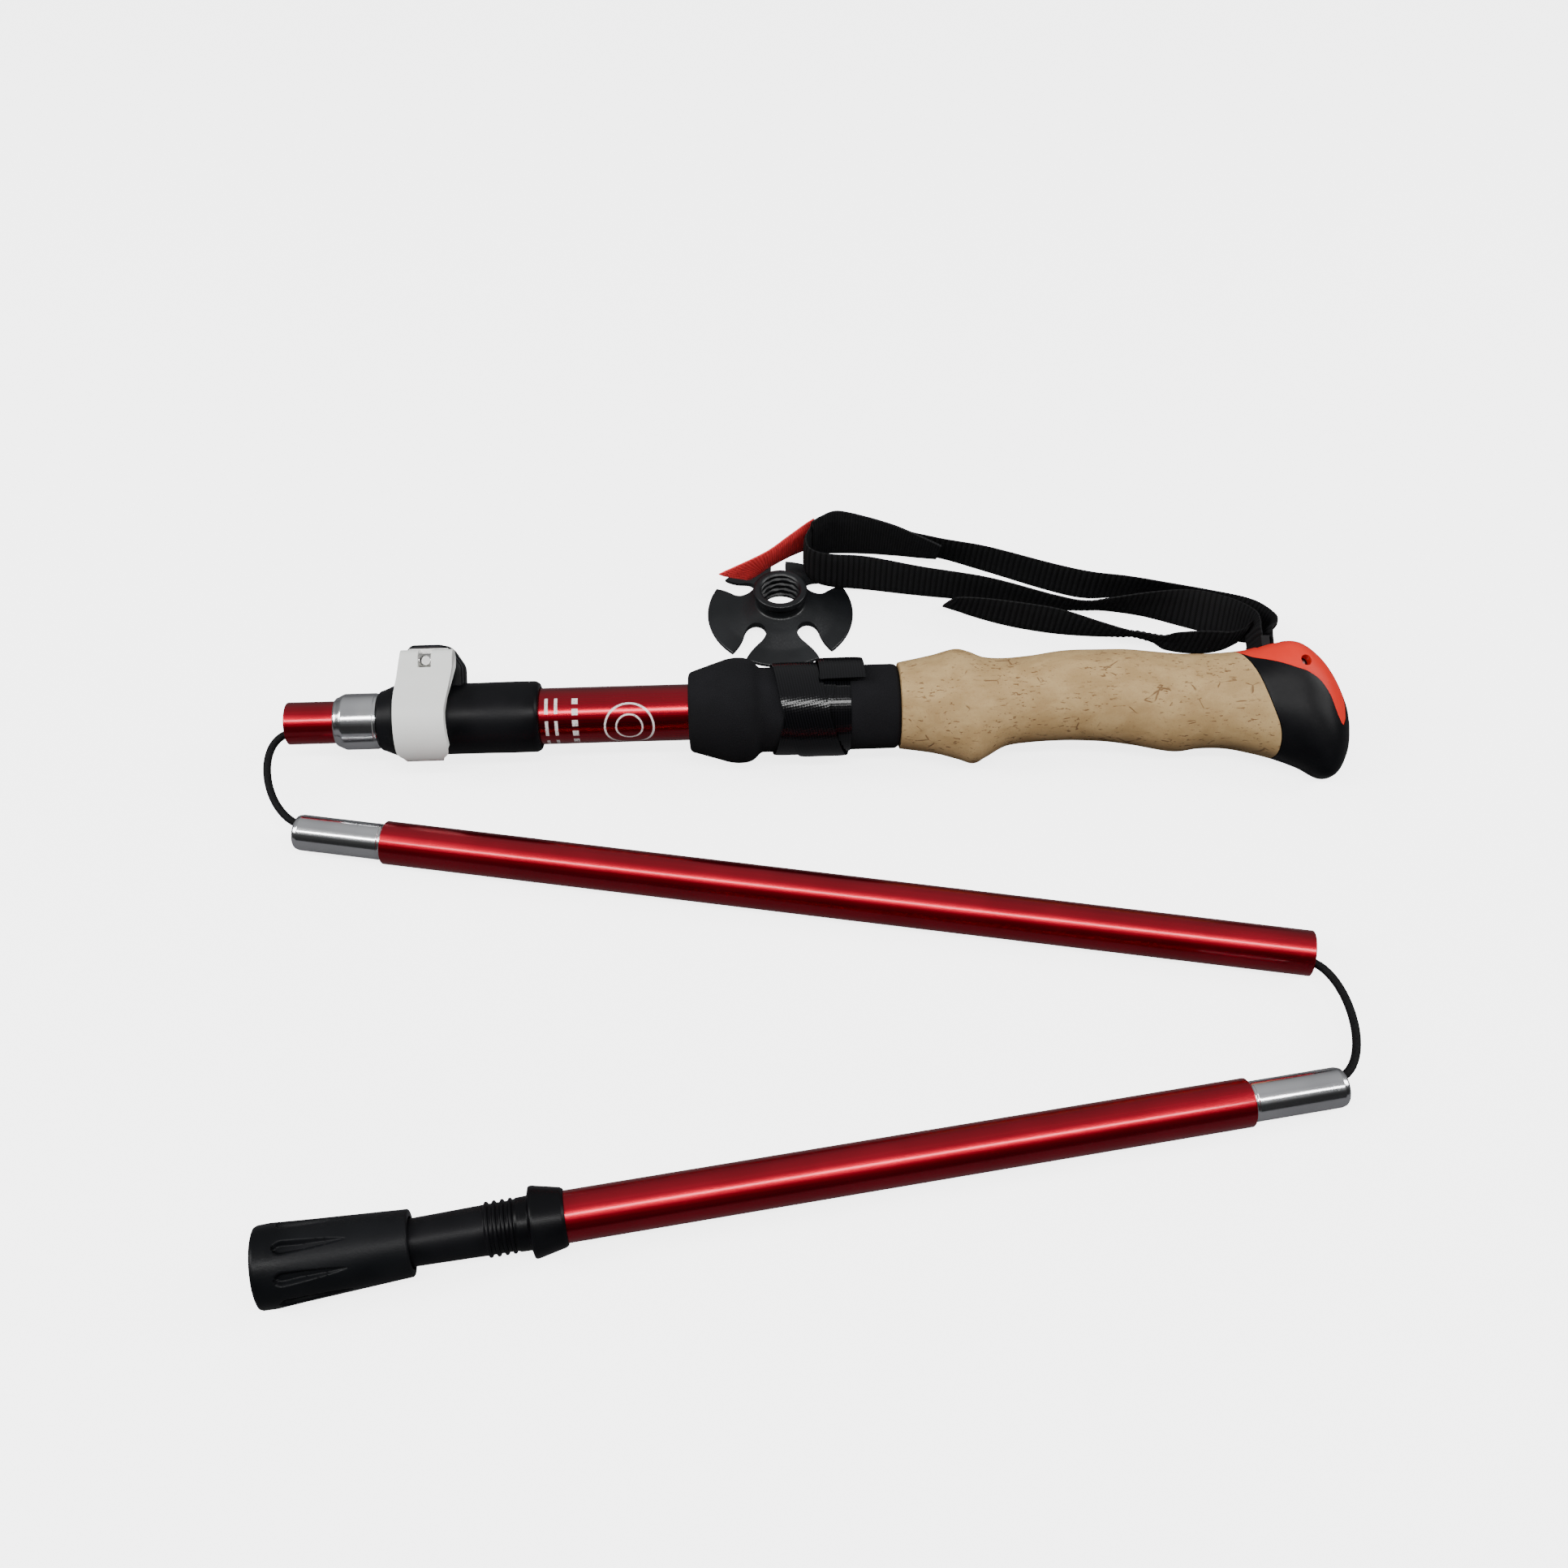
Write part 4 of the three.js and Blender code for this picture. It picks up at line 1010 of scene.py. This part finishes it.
def rubber_foot():
    """The foot, with eight drop-shaped flutes: round towards the sole, pointed away."""
    start, sole = span("rubber_foot", LOWER)
    outer = [
        (start + 0.3, 9.05), (sole - 12, 10.75), (sole - 4.6, 11.3), (sole - 1.0, 11.2),
        (sole - 0.3, 10.9), (sole, 10.2),
    ]
    dense = []
    for (x0, r0), (x1, r1) in zip(outer, outer[1:]):
        steps = max(2, int((x1 - x0) / 0.45))
        dense += [(x0 + (x1 - x0) * k / steps, r0 + (r1 - r0) * k / steps) for k in range(steps)]
    profile = [
        (sole - 6.4, 0), (sole - 6.4, 3.4), (sole - 11.4, 3.4), (sole - 11.4, 6.3), (start, 7.1),
        (start, 8.75), *dense, (sole, 10.2), (sole, 4), (sole, 0),
    ]

    half_width, deepest, rounded_share = 2.15, 1.6, 0.12
    step = TAU / 8

    def fluted(x, r, angle):
        """The radius, less the depth of a flute. share runs from its round end to its point."""
        share = (sole - 8.4 - x) / 16.6
        if r < 8.9 or not -rounded_share < share < 1:
            return r
        left = 1 - max(share, 0)
        width = half_width * left ** 0.62
        if share < 0:
            width = half_width * math.sqrt(max(0.0, 1 - (share / rounded_share) ** 2))
        if width < 0.05:
            return r
        across = ((angle + step / 2) % step - step / 2) * r
        depth = deepest * (1 - smoothstep(abs(across) / width, 0.45, 1.0))
        return r - float(depth) * min(1.0, 1.25 * left + 0.15)

    vertices, faces = turned(profile, 256, fluted)
    return piece("rubber_foot_skin", vertices, faces, LOWER, "rubber", sharp=55)


place(rubber_foot(), "foot", "rubber_foot")

# --- basket


def basket():
    """A dished disc with notches in its rim, round a hub with a thread in it."""
    low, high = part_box("mud_basket")
    centre = Vector(((low.x + high.x) / 2, (low.y + high.y) / 2, low.z))
    matrix = basis(centre, (0, 0, 1), (1, 0, 0))
    radius, hub, bore, height = 27.2, 9.9, 7.1, 13.6
    thread = [(1.4 + 0.25 * k, bore) for k in range(44)]
    profile = [
        (0.3, bore + 1.8), (height - 10.2, 12.2), (1.6, 19.5), (0, radius - 0.8), (0, radius),
        (1.3, radius), (2.4, 21), (height - 8.4, 14.6), (height - 6.6, hub - 1.0),
        (height - 3.0, hub - 1.0), (height - 2.5, hub), (height - 0.3, hub), (height, hub - 0.6),
        (height, bore + 0.7), (height - 0.6, bore),
    ]
    profile = rounded(profile, 0.9, 3, closed=False) + [(x, r) for x, r in reversed(thread)]

    def threaded(x, r, angle):
        if r > bore + 0.01 or not 1.3 < x < 12.3:
            return r
        phase = (x / 2.6 + angle / TAU) % 1
        return r + 0.75 * float(smoothstep(abs(phase - 0.5), 0.12, 0.3))

    vertices, faces = turned(profile, 180, threaded)
    obj = piece("basket_disc", vertices, faces, matrix, "basket_plastic")
    notch = [(-3.4, 30), (-2.6, 24), (-2.9, 20.5), (-4.0, 17.4), (-3.9, 15.0), (-2.4, 13.2), (0, 12.5)]
    notch += [(-x, y) for x, y in reversed(notch[:-1])]
    outline = rounded(notch, 1.6, 3)
    # Local X is the basket's axis, so the notch outline turns about it.
    for angle in (-125, -36, 36, 125, 180):
        turn = Matrix.Rotation(math.radians(angle), 4, "X") @ Matrix.Rotation(math.pi / 2, 4, "Y")
        tool = prism("tool", outline, -8, 20, matrix @ turn, "basket_plastic")
        boolean(obj, [tool])
    smooth(obj, 40)
    return obj


place(basket(), "basket", "mud_basket")

# --- wrist strap

# The strap's path: (x, y, z, lean) in mm and degrees; see tape().
LOOP = [
    (334.4, 12.4, 6.6, -28), (334.8, 19.4, 9.6, -28), (339, 25.5, 5.5, -22),
    (341.5, 34, -1, -12), (338, 46, -7, -10), (326, 58.5, -11, -28),
    (312, 64.4, -11.4, -34), (296.5, 64.6, -10.4, -19), (283.5, 65.5, -10.1, -11), (270, 70.2, -10, -11),
    (247, 80.9, -10.1, -15), (230, 87, -9.8, -22), (212.4, 91.8, -9.6, -15), (202.3, 94.7, -9.5, -10),
    (191, 96.8, -9.5, -4), (184, 95.4, -9, -6), (180.4, 89, -7.6, -8), (178.8, 82, -6, -8),
    (180.5, 75.5, -5.2, -6),
    (187, 73, -6.2, -2), (201, 73.6, -8.8, 0), (221, 69.7, -9.9, -7), (245, 64.6, -10.1, -14),
    (268.4, 57.9, -10.8, -27), (280.2, 56, -11.2, -33), (290.3, 56.2, -11, -28), (305, 54.8, -10.3, -12),
    (319.6, 51, -9.6, 10), (330.5, 43.5, -7, 14), (335, 33.5, -1, 0), (333.6, 26, 4.5, -18),
    (331.2, 20.4, 9.1, -28),
    (331.3, 12.4, 6.6, -28),
]
TAIL = [
    (332.3, 28.6, 2.2, -20), (332.2, 30.5, -2, -22), (328.5, 34, -9, -20), (320.1, 35.1, -10.4, -15),
    (309.6, 36.3, -10.7, -22), (305, 38.6, -11.6, -36), (298, 41.3, -11.8, -39), (293, 41.8, -11.6, -36),
    (283, 43.6, -10.8, -26), (268.7, 47.4, -10.1, -13), (254.3, 51.3, -10.1, -13), (242, 55.4, -10.4, -20),
    (231, 59.5, -11, -32),
]
PAD = [
    (229.4, 83.2, -8.4, -30), (222.4, 85.7, -7.9, -24), (212.4, 89.2, -7.3, -17), (202.3, 92, -7, -11),
    (191.3, 94, -6.8, -4), (185.2, 92.8, -7.1, -7), (181.6, 90.8, -7.3, -8),
]
TAB = [
    (182.6, 95.2, -7.6, -2), (179.6, 92.6, -7.3, -4), (172.5, 86.5, -6.6, -14), (164, 78.6, -5.8, -20),
    (152, 70.2, -5.6, -14),
]


def tape(name, keys, material, width, thickness, per_segment, rib=0.12, slant=0.0):
    """A tape through keys of (x, y, z, lean). lean tips its width from upright towards
    the back, in degrees. slant cuts the last end at an angle."""
    curve = catmull(keys, per_segment)
    lean = np.radians(curve[:, 3])
    widths = np.stack([np.zeros(len(lean)), np.sin(lean), np.cos(lean)], axis=1)
    return ribbon(name, curve[:, :3], widths, width, thickness, POLE, material, rib=rib, slant=slant)


def wrist_strap():
    webbing = tape("strap_loop", LOOP, "webbing", 17, 1.5, 40)
    tail = tape("strap_free_end", TAIL, "webbing", 17, 1.5, 40, slant=-1.5)
    pad = tape("wrist_pad_cloth", PAD, "pad", [17.0, 19.5, 22, 23, 23, 22, 21], 2.2, 24, rib=0.0)
    tab = tape("strap_tab_cloth", TAB, "red_fabric", 14.5, 1.8, 24, rib=0.0, slant=7.0)
    place(tail, "wrist_strap", "strap_tail")
    place(pad, "wrist_strap", "wrist_pad")
    place(tab, "wrist_strap", "strap_tab")
    # The webbing bends where it comes out of the slot in the head.
    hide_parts("strap_webbing")
    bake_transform(webbing)


wrist_strap()

# --- cords


def cord_guide(name, start_body, end_body, points):
    """An unseen Bezier curve. Its first half of control points follows start_body and
    the rest end_body."""
    data = bpy.data.curves.new(name, "CURVE")
    data.dimensions = "3D"
    data.resolution_u = 24
    spline = data.splines.new("BEZIER")
    spline.bezier_points.add(len(points) - 1)
    for target, (left, middle, right) in zip(spline.bezier_points, points):
        target.handle_left_type = target.handle_right_type = "FREE"
        target.handle_left, target.co, target.handle_right = left, middle, right
    guide = add_object(name, data)
    guide.hide_render = True
    half = 3 * (len(points) // 2)
    for body, first, end in ((start_body, 0, half), (end_body, half, 3 * len(points))):
        empty = add_object(name + "_" + body, None)
        empty.parent = frame["bodies"][body]
        bpy.context.view_layer.update()
        hook = guide.modifiers.new("hook_" + body, "HOOK")
        hook.object = empty
        hook.vertex_indices_set(list(range(first, end)))
        hook.matrix_inverse = empty.matrix_world.inverted()
    return guide


def hooked_cord(name, node, start_body, end_body, points):
    """A round cord swept along its guide, so that it joins the two bodies in every pose."""
    tree = bpy.data.node_groups.new(name, "GeometryNodeTree")
    tree.interface.new_socket("Geometry", in_out="OUTPUT", socket_type="NodeSocketGeometry")
    path = tree.nodes.new("GeometryNodeObjectInfo")
    path.transform_space = "RELATIVE"
    path.inputs["Object"].default_value = cord_guide(name + "_guide", start_body, end_body, points)
    ring = tree.nodes.new("GeometryNodeCurvePrimitiveCircle")
    ring.inputs["Resolution"].default_value = 20
    ring.inputs["Radius"].default_value = 1.3 * MM
    sweep = tree.nodes.new("GeometryNodeCurveToMesh")
    sweep.inputs["Fill Caps"].default_value = True
    round_off = tree.nodes.new("GeometryNodeSetShadeSmooth")
    paint = tree.nodes.new("GeometryNodeSetMaterial")
    paint.inputs["Material"].default_value = MATERIALS["cord"]
    result = tree.nodes.new("NodeGroupOutput")
    tree.links.new(path.outputs["Geometry"], sweep.inputs["Curve"])
    tree.links.new(ring.outputs["Curve"], sweep.inputs["Profile Curve"])
    tree.links.new(sweep.outputs["Mesh"], round_off.inputs["Geometry"])
    tree.links.new(round_off.outputs["Geometry"], paint.inputs["Geometry"])
    tree.links.new(paint.outputs["Geometry"], result.inputs["Geometry"])

    mesh = bpy.data.meshes.new(name)
    mesh.materials.append(MATERIALS["cord"])
    obj = add_object(name, mesh)
    obj.modifiers.new("sweep", "NODES").node_group = tree
    place(obj, start_body, node)


hooked_cord("upper_loop_cord", "upper_cord_loop", "upper_link", "middle_section", [
    in_frame(POLE, (21, 0, 0), (19.4, 0, 0), (12, 0, 0)),
    in_frame(POLE, (6.5, -1.6, -0.8), (0.3, -3.0, -1.5), (-11.5, -5.5, -2.9)),
    in_frame(MIDDLE, (-13, 4.5, 1.5), (0.6, 2.5, 0.4), (5, 1.6, 0.2)),
    in_frame(MIDDLE, (7, 0, 0), (9, 0, 0), (10, 0, 0)),
])
length = span("middle_tube", MIDDLE)[1]
hooked_cord("lower_loop_cord", "lower_cord_loop", "lower_link", "lower_section", [
    in_frame(MIDDLE, (length - 38, 0, 0), (length - 37, 0, 0), (length - 20, 0, 0)),
    in_frame(MIDDLE, (length - 7, -1.6, 0), (length - 0.5, -3.0, 0), (length + 11, -5.6, 0)),
    in_frame(LOWER, (-13, -4.7, 0), (0.6, -2.5, 0), (5, -1.6, 0)),
    in_frame(LOWER, (7, 0, 0), (9, 0, 0), (10, 0, 0)),
])

# --- floor and light


def studio():
    floor = bpy.data.meshes.new("floor")
    reach = 3.0
    corners = [(-reach, -reach, 0), (reach, -reach, 0), (reach, reach, 0), (-reach, reach, 0)]
    floor.from_pydata(corners, [], [(0, 1, 2, 3)])
    ground = add_object("floor", floor)
    n = Nodes("pale_floor")
    seen = n.tree.nodes.new("ShaderNodeLightPath").outputs["Is Camera Ray"]
    grain = n.noise(n.object, 3)
    # Mirrored in the tubes, the floor stays dim; looked at directly, it is nearly white.
    n.set(
        Base_Color=n.mix(seen, (0.12, 0.12, 0.125), n.mix(grain, (0.9, 0.9, 0.9), (0.92, 0.92, 0.92))),
        Roughness=0.9,
        Specular_IOR_Level=0.1,
        Emission_Color=(1.0, 1.0, 1.0, 1.0),
        Emission_Strength=n.times(seen, 3.5),
    )
    floor.materials.append(n.material)

    world = bpy.data.worlds.new("studio")
    bpy.context.scene.world = world
    world.use_nodes = True
    nodes, link = world.node_tree.nodes, world.node_tree.links.new
    background = nodes["Background"]
    background.inputs["Color"].default_value = (0.97, 0.98, 1.0, 1)
    # Brightest above and a little behind, so that the tubes shade from top to bottom.
    coordinates = nodes.new("ShaderNodeTexCoord")
    tilt = nodes.new("ShaderNodeVectorMath")
    tilt.operation = "DOT_PRODUCT"
    tilt.inputs[1].default_value = (0, 0.45, 0.89)
    fade = nodes.new("ShaderNodeMapRange")
    for key, value in {"From Min": 0.2, "From Max": 1.0, "To Min": 0.03, "To Max": 0.55}.items():
        fade.inputs[key].default_value = value
    link(coordinates.outputs["Generated"], tilt.inputs[0])
    link(tilt.outputs["Value"], fade.inputs["Value"])
    # Where the camera looks past the floor, the background is as pale as the floor.
    strength = nodes.new("ShaderNodeMix")
    strength.inputs["B"].default_value = 4.0
    link(nodes.new("ShaderNodeLightPath").outputs["Is Camera Ray"], strength.inputs["Factor"])
    link(fade.outputs["Result"], strength.inputs["A"])
    link(strength.outputs["Result"], background.inputs["Strength"])

    def softbox(name, location, size, power):
        """An area light that faces the origin."""
        light = bpy.data.lights.new(name, "AREA")
        light.shape = "RECTANGLE"
        light.size, light.size_y = size
        light.energy = power
        obj = add_object(name, light)
        obj.location = location
        obj.rotation_euler = (-Vector(location)).to_track_quat("-Z", "Y").to_euler()

    softbox("strip", (0, -0.5, 1.15), (1.8, 0.13), 18)
    softbox("left", (-1.2, -0.1, 0.95), (0.5, 0.7), 13)
    softbox("right", (1.3, 0.1, 0.9), (0.5, 0.7), 11)


def camera():
    """The photo's viewpoint, measured from the mouth of the socket tube."""
    data = bpy.data.cameras.new("camera")
    data.lens = data.sensor_width = 36.0
    obj = add_object("camera", data)
    obj.location = MOUTH + Vector((154.3, -348.7, 405.3)) * MM
    obj.rotation_euler = (math.radians(90 - 52), 0, math.radians(-2.19))
    bpy.context.scene.camera = obj


studio()
camera()
